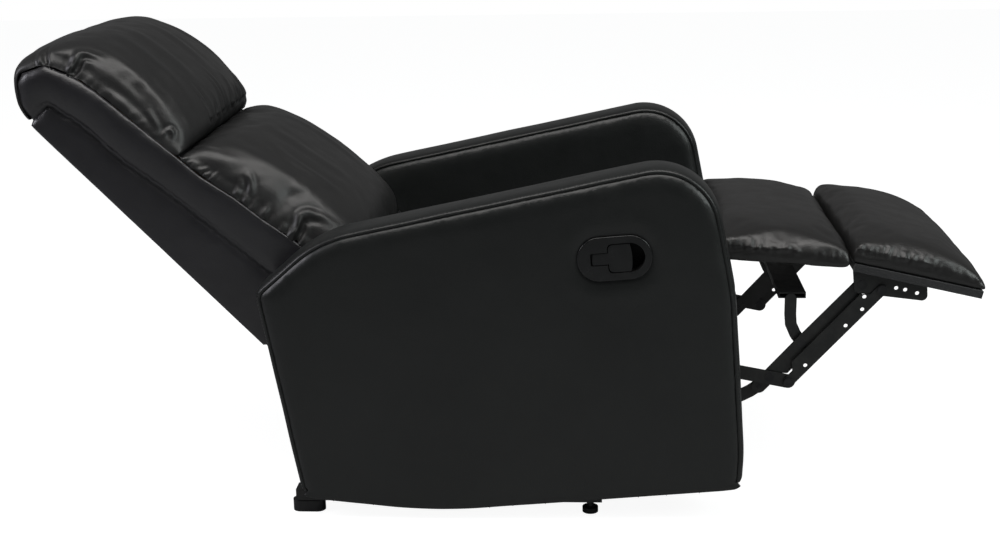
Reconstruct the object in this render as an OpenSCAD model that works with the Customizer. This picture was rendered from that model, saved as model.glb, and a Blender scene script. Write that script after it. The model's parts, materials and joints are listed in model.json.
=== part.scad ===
// Manual recliner, shown reclined with its footrest out.
// It faces +X, +Z is up, and its right side, with the release handle, is at -Y.
// Places in the tables below are [x, z] from the arms' lower front edge (x), and the floor (z).

/* [Overall] */
// Distance from the middle of the chair's length to the arms' lower front edge
front_x = 400; // [380:1:415]
// Width over both arms
overall_w = 680; // [640:2:760]

/* [Arms] */
// Length of an arm from its front edge to its rear corner
arm_length = 807; // [760:1:840]
// Height of the arm's top front corner before it is rounded
arm_height = 628; // [600:1:650]
// Width of one arm
arm_w = 90; // [80:1:110]
// Depth at which the band's seams lie inside the arm's outline
seam_depth = 10; // [6:1:16]
// Thickness of a padded face panel
cover_t = 22; // [14:1:26]
// Height of the inner panel's lower edge above the base rails
inner_panel_lift = 8; // [4:1:20]
// Thickness of the wooden bars inside the arms
batten_t = 20; // [16:1:24]

/* [Base] */
// Height of the feet, up to the rails
foot_h = 22; // [16:1:30]
// Diameter of a foot
foot_d = 27; // [20:1:34]
// Diameter of a foot's stem
foot_stem_d = 12; // [8:1:16]
// Width of a base rail
rail_w = 30; // [24:1:36]
// Height of a base rail
rail_h = 20; // [16:1:24]
// Wall of the rails and cross tubes
rail_wall = 2; // [1.2:0.1:3]
// Distance of the rails' front end behind the arms' front edge
rail_front = 235; // [200:1:260]
// Distance of the rails' rear end ahead of the arms' rear corner
rail_rear_inset = 52; // [40:1:64]
// Distance of each foot's middle from its end of the rails
foot_inset = 17; // [15:1:40]
// Length of a rear foot
rear_foot_length = 56; // [40:1:64]
// Distance of the front cross tube behind the arms' front edge
front_tube_at = 335; // [325:1:345]
// Distance of the rear cross tube behind the arms' front edge
rear_tube_at = 620; // [605:1:630]

/* [Mechanism] */
// Thickness of a steel plate
plate_t = 3; // [2:0.5:3.5]
// Gap between two layers of plates
plate_gap = 1; // [0.6:0.1:1.5]
// Distance from the arm's inner face to the outermost plate
mech_inset = 19; // [17:1:24]
// Width of a straight link
link_w = 24; // [18:1:26]
// Width of a stay link at its ends
stay_w = 18; // [14:1:20]
// Added width of a stay link between its ends
stay_flange = 12; // [0:1:13]
// Diameter of a link's pivot pin
pin_d = 10; // [8:0.5:12]
// Diameter of a pivot pin's head
pin_head_d = 16; // [13:1:17]
// Thickness of a pin's head
pin_head_t = 2.5; // [1.5:0.5:3]
// Radial clearance of a bore that turns on its pin
bore_gap = 0.05; // [0.02:0.01:0.1]
// Diameter of the torque tube between the front links
torque_tube_d = 22; // [18:1:26]
// Sag of the lower link below the line between its pivots
lower_link_sag = 68; // [60:1:72]

/* [Seat] */
// Gap between a cushion's side and the arm
cushion_gap = 7; // [5:1:10]
// Height of the seat frame's underside
seat_frame_z = 330; // [330:1:336]
// Height of the seat frame's rails
seat_frame_h = 18; // [14:1:20]
// Height of the seat's crown above its frame, at the front
seat_front_h = 128; // [110:1:130]
// Distance of the seat cushion's front behind the arms' front edge
seat_front_at = 63; // [58:1:70]
// Distance of the seat cushion's rear end behind the arms' front edge
seat_rear_at = 535; // [520:1:540]
// Distance of the seat frame's rear end behind the arms' front edge
seat_frame_rear_at = 592; // [580:1:596]

/* [Back] */
// Recline of the back from upright, at rest
recline = 43.9; // [40:0.1:46]
// Length of the back from its hinge to the rear cover's top
back_length = 606; // [590:1:620]
// Depth of the back from its hinge to its rear cover
back_depth = 145; // [136:1:150]
// Thickness of the rear cover
rear_cover_t = 7; // [5:1:10]
// Thickness of a side cover
side_cover_t = 12; // [8:1:14]
// Height of the headrest pillow's crown above its seam
headrest_crown = 80; // [70:1:84]
// Height of the lumbar pillow's crown above its seam
lumbar_crown = 96; // [80:1:100]

/* [Leg rest] */
// Length of the upper leg pad
upper_pad_length = 205; // [195:1:208]
// Length of the lower leg pad
lower_pad_length = 222; // [200:1:230]
// Thickness of a leg pad at its crown
pad_crown = 50; // [44:1:54]
// Slope of the upper leg pad
upper_pad_slope = 4.5; // [3:0.1:6]
// Slope of the lower leg pad
lower_pad_slope = 12.7; // [11:0.1:14]
// Thickness of the leg board
leg_board_t = 13; // [10:1:15]

/* [Handle] */
// Length of the handle's bezel
bezel_length = 122; // [110:1:130]
// Height of the handle's bezel
bezel_h = 74; // [70:1:80]
// Width of the bezel's rim
bezel_rim = 12; // [9:1:14]
// Height of the rim above the arm's face
bezel_proud = 3; // [2:0.5:5]
// Depth of the handle's cup
cup_depth = 24; // [20:1:30]
// Length of the paddle's head
paddle_head_l = 41; // [36:1:44]
// Width of the paddle's head
paddle_head_w = 44; // [36:1:46]
// Length of the paddle's stem
paddle_stem_l = 25; // [20:1:26]
// Width of the paddle's stem
paddle_stem_w = 19; // [14:1:24]
// Thickness of the paddle
paddle_t = 4; // [3:0.5:6]

/* [Hidden] */
// Smoothness of round parts
$fn = 48;
// Overrun of a cut past the face that it opens
cut = 1;
// Gap between soft solids and what lies beside them
soft_gap = 0.4;
leather = "#1b1c1e";
steel = "#26272a";
plastic = "#101012";
timber = "#b08a5a";
cloth = "#202022";

// Planes across the chair
half_w = overall_w / 2;
inner_half = half_w - arm_w;
arm_mid_y = half_w - arm_w / 2;
cushion_half = inner_half - cushion_gap;
mech_y = inner_half - mech_inset;
pitch = plate_t + plate_gap;
// Layers of plates, from the arm inwards
LAYERS = ["stay", "front", "carrier", "lower", "strap"];
function layer_y(name) = mech_y - search([name], LAYERS)[0] * pitch - plate_t;

// Pivots of the footrest linkage, which is a parallelogram at every angle
front_pivot = [-167, 305];
front_link = [221, -85];
front_link_bend = [147, -72];
stay_offset = [32, -8];
lower_offset = [-17, -18.5];
carrier = [150, 164];
strap_offset = [53, 59];
front_pin = front_pivot + front_link;
lower_pivot = front_pivot + lower_offset;
lower_pin = front_pin + lower_offset;
stay_low_pin = front_pin + stay_offset;
leg_pin = front_pin + carrier;
stay_top_pin = stay_low_pin + carrier;
strap_pin = front_pin + strap_offset;
tube_offset = [72.5, -6.4];
tube_at = front_pivot + tube_offset;
spring_arm = 33;
spring_pin = front_pivot - spring_arm * front_link / norm(front_link);
spring_anchor = [-330, 336];
back_pivot = [-660, 330];

cross_tube_at = [front_tube_at, rear_tube_at];
rail_z = foot_h;
rail_rear = arm_length - rail_rear_inset;
front_foot_at = rail_front + foot_inset;
rear_foot_at = rail_rear - foot_inset;
rail_top = rail_z + rail_h;
seat_top_z = seat_frame_z + seat_frame_h;
rail_y = arm_mid_y;

// Vector and outline functions
function unit(v) = v / norm(v);
function polar(r, a) = r * [cos(a), sin(a)];
function turned(v, a) = [v.x * cos(a) - v.y * sin(a), v.x * sin(a) + v.y * cos(a)];
function heading(v) = atan2(v.y, v.x);
function left_of(v) = unit([-v.y, v.x]);
function reversed(list) = [for (i = [len(list) - 1:-1:0]) list[i]];
function scaled(list, size) = [for (p = list) [p.x * size.x, p.y * size.y]];
function moved(list, v) = [for (p = list) p + v];

// Arc of one rounded corner: a point and the outward direction for each step
arc_step = 12;
function signed(a) = a > 180 ? a - 360 : (a < -180 ? a + 360 : a);
function corner(before, at, after, r) =
    let (u = unit(before - at), v = unit(after - at))
    let (half = acos(u * v) / 2, centre = at + unit(u + v) * r / sin(half))
    let (first = heading(at + u * r / tan(half) - centre), last = heading(at + v * r / tan(half) - centre))
    let (turn = signed(last - first), steps = max(2, ceil(abs(turn) / arc_step)))
    [for (i = [0:steps]) [centre, r, first + turn * i / steps]];

// Corner i of a closed outline given as [x, z, radius], and all its corners
function corner_of(table, i) =
    let (n = len(table), a = table[(i + n - 1) % n], b = table[i], c = table[(i + 1) % n])
    corner([a.x, a.y], [b.x, b.y], [c.x, c.y], b.z);
function corners(table) = [for (i = [0:len(table) - 1]) each corner_of(table, i)];

// Outline at a depth inside the rounded corners
function inset(arcs, depth) = [for (c = arcs) c[0] + polar(c[1] - depth, c[2])];

// Outline of a bar with round ends
end_steps = 12;
function stadium(a, b, w) =
    let (way = heading(b - a))
    [for (i = [0:end_steps]) b + polar(w / 2, way - 90 + 180 * i / end_steps),
     for (i = [0:end_steps]) a + polar(w / 2, way + 90 + 180 * i / end_steps)];

// Outline of a strip of even width along a path, with round ends
function path_way(path, i) = unit(path[min(i + 1, len(path) - 1)] - path[max(i - 1, 0)]);
function strip(path, w) =
    let (n = len(path) - 1, ahead = heading(path[n] - path[n - 1]), back = heading(path[1] - path[0]))
    [for (i = [0:n - 1]) path[i] - left_of(path_way(path, i)) * w / 2,
     for (i = [0:end_steps]) path[n] + polar(w / 2, ahead - 90 + 180 * i / end_steps),
     for (i = [n - 1:-1:1]) path[i] + left_of(path_way(path, i)) * w / 2,
     for (i = [0:end_steps - 1]) path[0] + polar(w / 2, back + 90 + 180 * i / end_steps)];

// Circular arc from a to b that sags to its right by s
function sagged(a, b, s, steps) =
    let (chord = norm(b - a), r = (chord * chord / 4 + s * s) / (2 * s), half = asin(chord / 2 / r))
    let (centre = (a + b) / 2 + left_of(b - a) * (r - s), way = heading(b - a))
    [for (i = [0:steps]) centre + polar(r, way - 90 - half + 2 * half * i / steps)];

// Curve through the points, with one more point in each gap
function mid(p, i) =
    (9 * (p[i] + p[i + 1]) - p[max(i - 1, 0)] - p[min(i + 2, len(p) - 1)]) / 16;
function smooth(p) = [for (i = [0:len(p) - 2]) each [p[i], mid(p, i)], p[len(p) - 1]];

// Cushion between an inner line and an outer line of as many points.
// Across its width the outer line sinks to side_share of its height, as a superellipse,
// and the sides are drawn in between the two ends of the lines.
function crown_at(s, power, side_share) =
    side_share + (1 - side_share) * pow(1 - pow(abs(s), power), 1 / power);
function station(j, n) = sin(90 * (2 * j / n - 1));
function cushion_ring(inner, outer, half, s, power, side_share, draw, edge) =
    let (n = len(outer) - 1, rise = crown_at(s, power, side_share))
    [for (i = [0:n])
        let (lift = outer[i] - inner[i], w = half * s - sign(s) * draw * pow(abs(s), edge) * sin(180 * i / n))
        [inner[i].x + lift.x * rise, w, inner[i].y + lift.y * rise],
     for (i = [n:-1:0])
        let (w = half * s - sign(s) * draw * pow(abs(s), edge) * sin(180 * i / n))
        [inner[i].x, w, inner[i].y]];

module skin(rings) {
    n = len(rings[0]);
    m = len(rings);
    h = n / 2;
    // Sides between neighbouring rings, and two zipped ends
    sides = [for (j = [0:m - 2]) for (i = [0:n - 1])
        let (k = (i + 1) % n, a = j * n)
        each [[a + i, a + n + k, a + k], [a + i, a + n + i, a + n + k]]];
    first = [for (i = [0:h - 2]) each [[i, i + 1, n - 1 - i], [i + 1, n - 2 - i, n - 1 - i]]];
    last = [for (f = first) [for (v = f) (m - 1) * n + n - 1 - v]];
    polyhedron([for (r = rings) each r], [each sides, each first, each last], convexity = 6);
}

draw_edge_power = 8;
module cushion(inner, outer, half, stations, power, side_share, draw) {
    skin([for (j = [0:stations])
        cushion_ring(inner, outer, half, station(j, stations), power, side_share, draw, draw_edge_power)]);
}

// Tube along a route, as one unbroken skin
function ring_about(p, way, r, sides) =
    let (side = unit(cross(way, abs(way.z) > 0.9 ? [1, 0, 0] : [0, 0, 1])), up = cross(side, way))
    [for (i = [0:sides - 1]) p + r * (cos(360 * i / sides) * side + sin(360 * i / sides) * up)];
module tube_along(route, r, sides) {
    n = len(route) - 1;
    skin([for (i = [0:n]) ring_about(route[i], unit(route[min(i + 1, n)] - route[max(i - 1, 0)]), r, sides)]);
}

// Placing
module at_front() {
    translate([front_x, 0, 0])
        children();
}
module on(side) {
    if (side == "right")
        mirror([0, 1, 0])
            children();
    else
        children();
}
// Draws an [x, z] outline as a plate from y0 over thickness t
module plate(points, y0, t) {
    translate([0, y0 + t, 0])
        rotate([90, 0, 0])
            linear_extrude(t)
                polygon(points);
}
// Round bar along Y at an [x, z] place
module bar_y(at, y0, l, d) {
    translate([at.x, y0, at.y])
        rotate([-90, 0, 0])
            cylinder(h = l, d = d);
}
module in_back() {
    translate([back_pivot.x, 0, back_pivot.y])
        rotate([0, -recline, 0])
            children();
}
// Turns a [u, n] table of the back, along and out of it, into [x, z] of the unturned back
function back_xz(table) = [for (p = table) [p.y, p.x]];

// Base
module base_rail(side) {
    color(steel)
        at_front() on(side)
            difference() {
                translate([-rail_rear, rail_y - rail_w / 2, rail_z])
                    cube([rail_rear - rail_front, rail_w, rail_h]);
                translate([-rail_rear - cut, rail_y - rail_w / 2 + rail_wall, rail_z + rail_wall])
                    cube([rail_rear - rail_front + 2 * cut, rail_w - 2 * rail_wall, rail_h - 2 * rail_wall]);
            }
}

cap_t = 3;
cap_plug = 14;
module rail_end_cap(x, way) {
    plug_gap = bore_gap;
    translate([x - (way > 0 ? 0 : cap_t), rail_y - rail_w / 2, rail_z])
        cube([cap_t, rail_w, rail_h]);
    translate([x - (way > 0 ? cap_plug : 0), rail_y - rail_w / 2 + rail_wall + plug_gap,
        rail_z + rail_wall + plug_gap])
        cube([cap_plug, rail_w - 2 * (rail_wall + plug_gap), rail_h - 2 * (rail_wall + plug_gap)]);
}
module rail_end_caps() {
    color(plastic)
        at_front()
            for (side = ["right", "left"]) on(side) {
                rail_end_cap(-rail_front, 1);
                rail_end_cap(-rail_rear, -1);
            }
}

cross_w = 20;
module base_cross_tubes() {
    half = rail_y - rail_w / 2;
    color(steel)
        at_front()
            for (at = cross_tube_at)
                difference() {
                    translate([-at - cross_w / 2, -half, rail_z])
                        cube([cross_w, 2 * half, rail_h]);
                    translate([-at - cross_w / 2 + rail_wall, -half - cut, rail_z + rail_wall])
                        cube([cross_w - 2 * rail_wall, 2 * (half + cut), rail_h - 2 * rail_wall]);
                }
}

// A front foot is a round pad on a stem, and a rear foot is a longer and taller glide
front_pad_share = 0.4;
rear_pad_share = 0.9;
module front_feet() {
    color(plastic)
        at_front()
            for (side = ["right", "left"]) on(side)
                translate([-front_foot_at, rail_y, 0])
                    union() {
                        cylinder(h = foot_h * front_pad_share, d = foot_d);
                        cylinder(h = foot_h, d = foot_stem_d);
                    }
}
module rear_feet() {
    reach = (rear_foot_length - foot_d) / 2;
    pad_h = foot_h * rear_pad_share;
    color(plastic)
        at_front()
            for (side = ["right", "left"]) on(side)
                translate([-rear_foot_at, rail_y, 0])
                    union() {
                        for (x = [-reach, reach])
                            translate([x, 0, 0])
                                cylinder(h = pad_h, d = foot_d);
                        translate([-reach, -foot_d / 2, 0])
                            cube([2 * reach, foot_d, pad_h]);
                        cylinder(h = foot_h, d = foot_stem_d);
                    }
}

post_w = 28;
post_top = 312;
post_bolt_z = 292;
bolt_d = 8;
bolt_head_d = 13;
bolt_head_t = 2.5;
module base_posts() {
    y = layer_y("front");
    color(steel)
        at_front()
            for (side = ["right", "left"]) on(side) for (at = cross_tube_at)
                difference() {
                    translate([-at - post_w / 2, y, rail_top])
                        cube([post_w, plate_t, post_top - rail_top]);
                    bar_y([-at, post_bolt_z], y - cut, plate_t + 2 * cut, bolt_d);
                }
}
module post_bolts() {
    y = layer_y("carrier") - bolt_head_t;
    l = 2 * plate_t + plate_gap + bolt_head_t;
    color(steel)
        at_front()
            for (side = ["right", "left"]) on(side)
                for (at = cross_tube_at)
                    union() {
                        bar_y([-at, post_bolt_z], y, l, bolt_d);
                        bar_y([-at, post_bolt_z], y, bolt_head_t, bolt_head_d);
                        bar_y([-at, post_bolt_z], y + l, bolt_head_t, bolt_head_d);
                        bar_y([-at, post_bolt_z], layer_y("carrier") + plate_t, plate_gap, bolt_head_d);
                    }
}

// Arms: names of the corners, their places as shares of the arm's length and height,
// and their radii as shares of its height
CORNERS = [
    "rear_low", "rear_high", "rear_top", "front_top",
    "front_high", "front_low", "front_foot", "bottom"
];
arm_corner_shares = [
    [-0.923, 0.065, 0.035],
    [-1, 0.638, 0.045],
    [-0.866, 0.787, 0.349],
    [-0.0755, 1, 0.171],
    [-0.0175, 0.636, 0.66],
    [0.0067, 0.191, 0.637],
    [0.004, 0.097, 0.031],
    [-0.638, 0.0275, 1.433]
];
arm_table = [for (c = arm_corner_shares) [c.x * arm_length, c.y * arm_height, c.z * arm_height]];
arm_arcs = corners(arm_table);
function arcs_before(i) = len([for (k = [0:1:i - 1]) each corner_of(arm_table, k)]);
function corner_row(name) = search([name], CORNERS)[0];
function arc_start(name) = arcs_before(corner_row(name));
function arc_end(name) = arcs_before(corner_row(name) + 1) - 1;
function arc_mid(name) = floor((arc_start(name) + arc_end(name)) / 2);
arm_count = len(arm_arcs);
function arm_edge(i, depth) = arm_arcs[i][0] + polar(arm_arcs[i][1] - depth, arm_arcs[i][2]);
// The panel's edge lies under the band, and is open to the floor between the band's two ends
arm_panel = [
    for (i = [arc_mid("rear_low"):arc_mid("front_foot")]) arm_edge(i, seam_depth),
    for (i = [arc_mid("front_foot"):arc_mid("rear_low") + arm_count]) arm_edge(i % arm_count, 0)
];

module arm_outer_cover(side) {
    color(leather)
        at_front() on(side)
            difference() {
                plate(arm_panel, half_w - cover_t, cover_t);
                if (side == "right")
                    plate(cup_outline(0), half_w - cover_t - cut, cover_t + 2 * cut);
            }
}

cable_hole_d = 12;
module arm_inner_cover(side) {
    low = rail_top + inner_panel_lift;
    color(leather)
        at_front() on(side)
            difference() {
                intersection() {
                    plate(arm_panel, inner_half, cover_t);
                    translate([-arm_length - cut, inner_half, low])
                        cube([arm_length + arm_w, cover_t, arm_height]);
                }
                if (side == "right")
                    bar_y(cable_gate, inner_half - cut, cover_t + 2 * cut, cable_hole_d);
            }
}

// The band's crown across its width, as a superellipse, over a flat back on the panels' edges
band_steps = 6;
band_power = 3.2;
band_edge_share = 0.16;
function band_depth(s) =
    seam_depth * (1 - band_edge_share) * (1 - pow(1 - pow(abs(s), band_power), 1 / band_power));
function band_ring(arc) =
    [for (j = [0:band_steps])
        let (s = 1 - 2 * j / band_steps, p = arc[0] + polar(arc[1] - band_depth(s), arc[2]))
        [p.x, arm_mid_y + s * arm_w / 2, p.y],
     for (j = [band_steps:-1:0])
        let (s = 1 - 2 * j / band_steps, p = arc[0] + polar(arc[1] - seam_depth + soft_gap / 2, arc[2]))
        [p.x, arm_mid_y + s * arm_w / 2, p.y]];
// The band is sewn from three lengths, which meet at the middles of these corners
band_joints = ["rear_low", "rear_high", "front_high", "front_foot"];
module arm_band(side) {
    color(leather)
        at_front() on(side)
            for (k = [0:len(band_joints) - 2])
                skin([
                    for (i = [arc_mid(band_joints[k]):arc_mid(band_joints[k + 1])]) band_ring(arm_arcs[i])
                ]);
}

// A bar of the arm's frame lies under the straight stretch between two corners
module frame_bar(i, j, trim) {
    a = arm_edge(arc_end(i), seam_depth);
    b = arm_edge(arc_start(j), seam_depth);
    inward = polar(-batten_t, arm_arcs[arc_end(i)][2]);
    p = a + unit(b - a) * trim;
    plate([p, b, b + inward, p + inward], inner_half + cover_t, arm_w - 2 * cover_t);
}
rear_bar_trim = 40;
foot_rail_trim = 60;
// Block over each glide, between the panels
glide_top = arm_edge(arc_end("front_foot"), 0).y;
glide_block_front = 20;
glide_block_rear = 62;
glide_block_h = 40;
module arm_frame(side) {
    color(timber)
        at_front() on(side) {
            frame_bar("rear_low", "rear_high", rear_bar_trim);
            frame_bar("rear_top", "front_top", 0);
            frame_bar("front_top", "front_high", 0);
            frame_bar("front_high", "front_low", 0);
            translate([foot_rail_trim - rail_rear, inner_half + cover_t, rail_top])
                cube([rail_rear - rail_front - foot_rail_trim, arm_w - 2 * cover_t, batten_t]);
            translate([-glide_block_rear, inner_half + cover_t, glide_top])
                cube([glide_block_rear - glide_block_front, arm_w - 2 * cover_t, glide_block_h]);
        }
}

glide_d = 36;
glide_h = 9;
glide_at = 22;
module arm_glides() {
    color(plastic)
        at_front()
            for (side = ["right", "left"]) on(side)
                translate([-glide_at, arm_mid_y, glide_top - glide_h])
                    cylinder(h = glide_h, d = glide_d);
}

arm_bolt_places = [[-290, 300], [-440, 300], [-565, 300]];
spacer_d = 18;
module arm_bolts() {
    y = layer_y("carrier");
    color(steel)
        at_front()
            for (side = ["right", "left"]) on(side)
                for (at = arm_bolt_places)
                    union() {
                        bar_y(at, y + plate_t, inner_half - y - plate_t, spacer_d);
                        bar_y(at, y - bolt_head_t, plate_t + bolt_head_t + cut, bolt_d);
                        bar_y(at, y - bolt_head_t, bolt_head_t, bolt_head_d);
                    }
}

// Seat
plate_low = 270;
plate_high = seat_top_z;
plate_front = 130;
plate_rear = 684;
plate_round = 14;
side_plate_outline = inset(corners([
    [-plate_front, plate_high, plate_round],
    [-plate_front, plate_low, plate_round],
    [-plate_rear, plate_low, plate_round],
    [-plate_rear, plate_high, plate_round]
]), 0);
seat_bolt_places = [[-300, 339], [-420, 339], [-540, 339]];
module side_plate(side) {
    y = layer_y("carrier");
    l = plate_t + 2 * cut;
    color(steel)
        at_front() on(side)
            difference() {
                plate(side_plate_outline, y, plate_t);
                for (at = [front_pivot, lower_pivot, back_pivot])
                    bar_y(at, y - cut, l, pin_d);
                for (at = concat(seat_bolt_places, arm_bolt_places))
                    bar_y(at, y - cut, l, bolt_d);
                for (at = cross_tube_at)
                    bar_y([-at, post_bolt_z], y - cut, l, bolt_d);
                bar_y(spring_anchor, y - cut, l, stud_d);
                if (side == "right")
                    bar_y(cable_gate, y - cut, l, cable_hole_d);
            }
}

seat_rail_t = 30;
seat_rail_gap = 10;
seat_rail_y = layer_y("carrier") - seat_rail_gap;
seat_frame_front = 80;
module seat_frame() {
    front = -seat_frame_front;
    rear = -seat_frame_rear_at;
    // The front and rear rails are butted between the side rails
    half = seat_rail_y - seat_rail_t - bore_gap;
    color(timber)
        at_front() {
            for (side = ["right", "left"]) on(side)
                difference() {
                    translate([rear, seat_rail_y - seat_rail_t, seat_frame_z])
                        cube([front - rear, seat_rail_t, seat_frame_h]);
                    for (at = seat_bolt_places)
                        bar_y(at, seat_rail_y - seat_rail_t - cut, seat_rail_t + 2 * cut, bolt_d);
                }
            for (x = [rear, front - seat_rail_t])
                translate([x, -half, seat_frame_z])
                    cube([seat_rail_t, 2 * half, seat_frame_h]);
        }
}
module seat_bolts() {
    y = seat_rail_y - seat_rail_t - bolt_head_t;
    plate_y = layer_y("carrier");
    color(steel)
        at_front()
            for (side = ["right", "left"]) on(side)
                for (at = seat_bolt_places)
                    union() {
                        bar_y(at, y, plate_y + plate_t - y, bolt_d);
                        bar_y(at, y, bolt_head_t, bolt_head_d);
                        bar_y(at, seat_rail_y, plate_y - seat_rail_y, bolt_head_d);
                        bar_y(at, plate_y + plate_t, bolt_head_t, bolt_head_d);
                    }
}

spring_wire = 3.5;
spring_wave = 22;
spring_turns = 12;
spring_rows = 5;
spring_margin = 30;
spring_spread = 2 * (seat_rail_y - seat_rail_t - spring_margin);
wave_steps = 8;
module seat_springs() {
    front = -seat_frame_front - seat_rail_t / 2;
    rear = -seat_frame_rear_at + seat_rail_t / 2;
    n = spring_turns * wave_steps;
    wave = [for (i = [0:n]) [rear + (front - rear) * i / n, spring_wave * sin(360 * i / wave_steps)]];
    color(steel)
        at_front()
            for (row = [0:spring_rows - 1])
                translate([0, spring_spread * (row / (spring_rows - 1) - 0.5), seat_top_z])
                    linear_extrude(spring_wire)
                        polygon(strip(wave, spring_wire));
}

// Seat lines from rear to front, as shares of its length and of its crown's height
seat_outer_shares = [
    [0, 0.15], [0.004, 0.3], [0.02, 0.4], [0.08, 0.46], [0.2, 0.53], [0.38, 0.65], [0.58, 0.79],
    [0.76, 0.92], [0.88, 1], [0.95, 0.97], [0.985, 0.86], [1, 0.66], [1, 0.4], [0.985, 0.18]
];
seat_inner_shares = [
    [0.02, 0], [0.05, 0], [0.1, 0], [0.18, 0], [0.27, 0], [0.38, 0], [0.5, 0],
    [0.62, 0], [0.73, 0], [0.82, 0], [0.88, 0], [0.92, 0], [0.95, 0], [0.97, 0]
];
seat_stations = 16;
seat_power = 6;
seat_side_share = 0.72;
seat_draw = 3;
module seat_cushion() {
    size = [seat_rear_at - seat_front_at, seat_front_h];
    base = [-seat_rear_at, seat_top_z + spring_wire + soft_gap];
    color(leather)
        at_front()
            cushion(moved(scaled(seat_inner_shares, size), base),
                moved(scaled(seat_outer_shares, size), base),
                cushion_half, seat_stations, seat_power, seat_side_share, seat_draw);
}

// Back: places are [along, out] from the hinge, on the seam between the cushions and the side covers
back_size = [back_length, back_depth];
seam_shares = [
    [1.007, -0.945], [1.05, -0.888], [1.1, -0.724], [1.11, -0.6], [1.08, -0.345], [1, -0.207],
    [0.939, -0.152], [0.663, -0.048], [0.576, -0.02], [0.465, 0.076], [0.373, 0.124], [0.282, 0.193],
    [0.1, 0.289]
];
seam_line = scaled(seam_shares, back_size);
cover_low_shares = [[0.016, 0.276], [-0.016, 0], [0, -0.414], [0.119, -1]];
side_cover_outline = concat(seam_line, scaled(cover_low_shares, back_size), [[back_length, -back_depth]]);
module back_side_cover(side) {
    color(leather)
        at_front() on(side) in_back()
            plate(back_xz(side_cover_outline), cushion_half - side_cover_t, side_cover_t);
}

rear_cover_low_share = 0.2;
module back_rear_cover() {
    low = back_length * rear_cover_low_share;
    color(leather)
        at_front() in_back()
            translate([-back_depth, -cushion_half + side_cover_t, low])
                cube([rear_cover_t, 2 * (cushion_half - side_cover_t), back_length - low]);
}

dust_outer_shares = [
    [0.196, -1], [0.18, -1.045], [0.15, -1.06], [0.12, -1.01], [0.098, -0.9], [0.095, -0.78]
];
dust_inner_shares = [
    [0.196, -0.96], [0.175, -0.955], [0.155, -0.94], [0.135, -0.91], [0.12, -0.86], [0.115, -0.8]
];
dust_stations = 8;
dust_power = 4;
dust_side_share = 0.5;
module back_dust_roll() {
    color(cloth)
        at_front() in_back()
            cushion(back_xz(smooth(scaled(dust_inner_shares, back_size))),
                back_xz(smooth(scaled(dust_outer_shares, back_size))),
                cushion_half - side_cover_t - soft_gap, dust_stations, dust_power, dust_side_share, 0);
}

// Uprights follow the seam line just under the cushions
upright_low_share = 0.12;
upright_t = 24;
upright_w = 22;
upright_drop = 8;
seam_low = seam_line[len(seam_line) - 1];
seam_high = seam_line[5];
function seam_out(along) =
    seam_low.y + (seam_high.y - seam_low.y) * (along - seam_low.x) / (seam_high.x - seam_low.x)
    - upright_drop;
// Outline between two places along the back and two depths below the seam line
function slat(from, to, upper, lower) = [
    [from, seam_out(from) - upper], [to, seam_out(to) - upper],
    [to, seam_out(to) - lower], [from, seam_out(from) - lower]
];
upright_y = layer_y("lower") - upright_w;
module back_uprights() {
    color(timber)
        at_front() in_back()
            for (side = ["right", "left"]) on(side)
                difference() {
                    plate(back_xz(slat(upright_low_share * back_length, back_length, 0, upright_t)),
                        upright_y, upright_w);
                    for (along = back_bolt_places)
                        bar_y([seam_out(along) - upright_t / 2, along],
                            upright_y - cut, upright_w + 2 * cut, bolt_d);
                }
}

// The rails lie behind the uprights and reach both side covers
back_rail_shares = [0.3, 0.62, 0.93];
back_rail_h = 40;
back_rail_t = 20;
module back_rails() {
    half = cushion_half - side_cover_t;
    color(timber)
        at_front() in_back()
            for (low = back_rail_shares * back_length)
                plate(back_xz(slat(low, low + back_rail_h, upright_t, upright_t + back_rail_t)),
                    -half, 2 * half);
}

web_rows = 5;
web_h = 50;
web_t = 2;
web_low_share = 0.27;
web_high_share = 0.84;
module back_webbing() {
    first = web_low_share * back_length;
    last = web_high_share * back_length;
    color(cloth)
        at_front() in_back()
            for (i = [0:web_rows - 1]) {
                from = first + (last - first) * i / (web_rows - 1);
                plate(back_xz(slat(from, from + web_h, -web_t, 0)), -upright_y - upright_w,
                    2 * (upright_y + upright_w));
            }
}

back_bolt_places = [100, 150];
bracket_w = 34;
module back_brackets() {
    y = layer_y("lower");
    top = back_bolt_places[1];
    color(steel)
        at_front() in_back()
            for (side = ["right", "left"]) on(side) difference() {
                plate(back_xz(strip([[0, 0],
                    [back_bolt_places[0], seam_out(back_bolt_places[0]) - upright_t / 2],
                    [top, seam_out(top) - upright_t / 2]], bracket_w)), y, plate_t);
                bar_y([0, 0], y - cut, plate_t + 2 * cut, pin_d + 2 * bore_gap);
                for (along = back_bolt_places)
                    bar_y([seam_out(along) - upright_t / 2, along], y - cut, plate_t + 2 * cut, bolt_d);
            }
}
module back_bolts() {
    y = upright_y - bolt_head_t;
    l = upright_w + plate_t + bolt_head_t;
    color(steel)
        at_front() in_back()
            for (side = ["right", "left"]) on(side)
                for (along = back_bolt_places) {
                    at = [seam_out(along) - upright_t / 2, along];
                    union() {
                        bar_y(at, y, l, bolt_d);
                        bar_y(at, y, bolt_head_t, bolt_head_d);
                    }
                }
}
module back_hinge_pins() {
    color(steel)
        at_front()
            for (side = ["right", "left"]) on(side)
                pivot_pin(back_pivot, "lower", "carrier", pin_head_t, pin_head_t);
}

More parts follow.
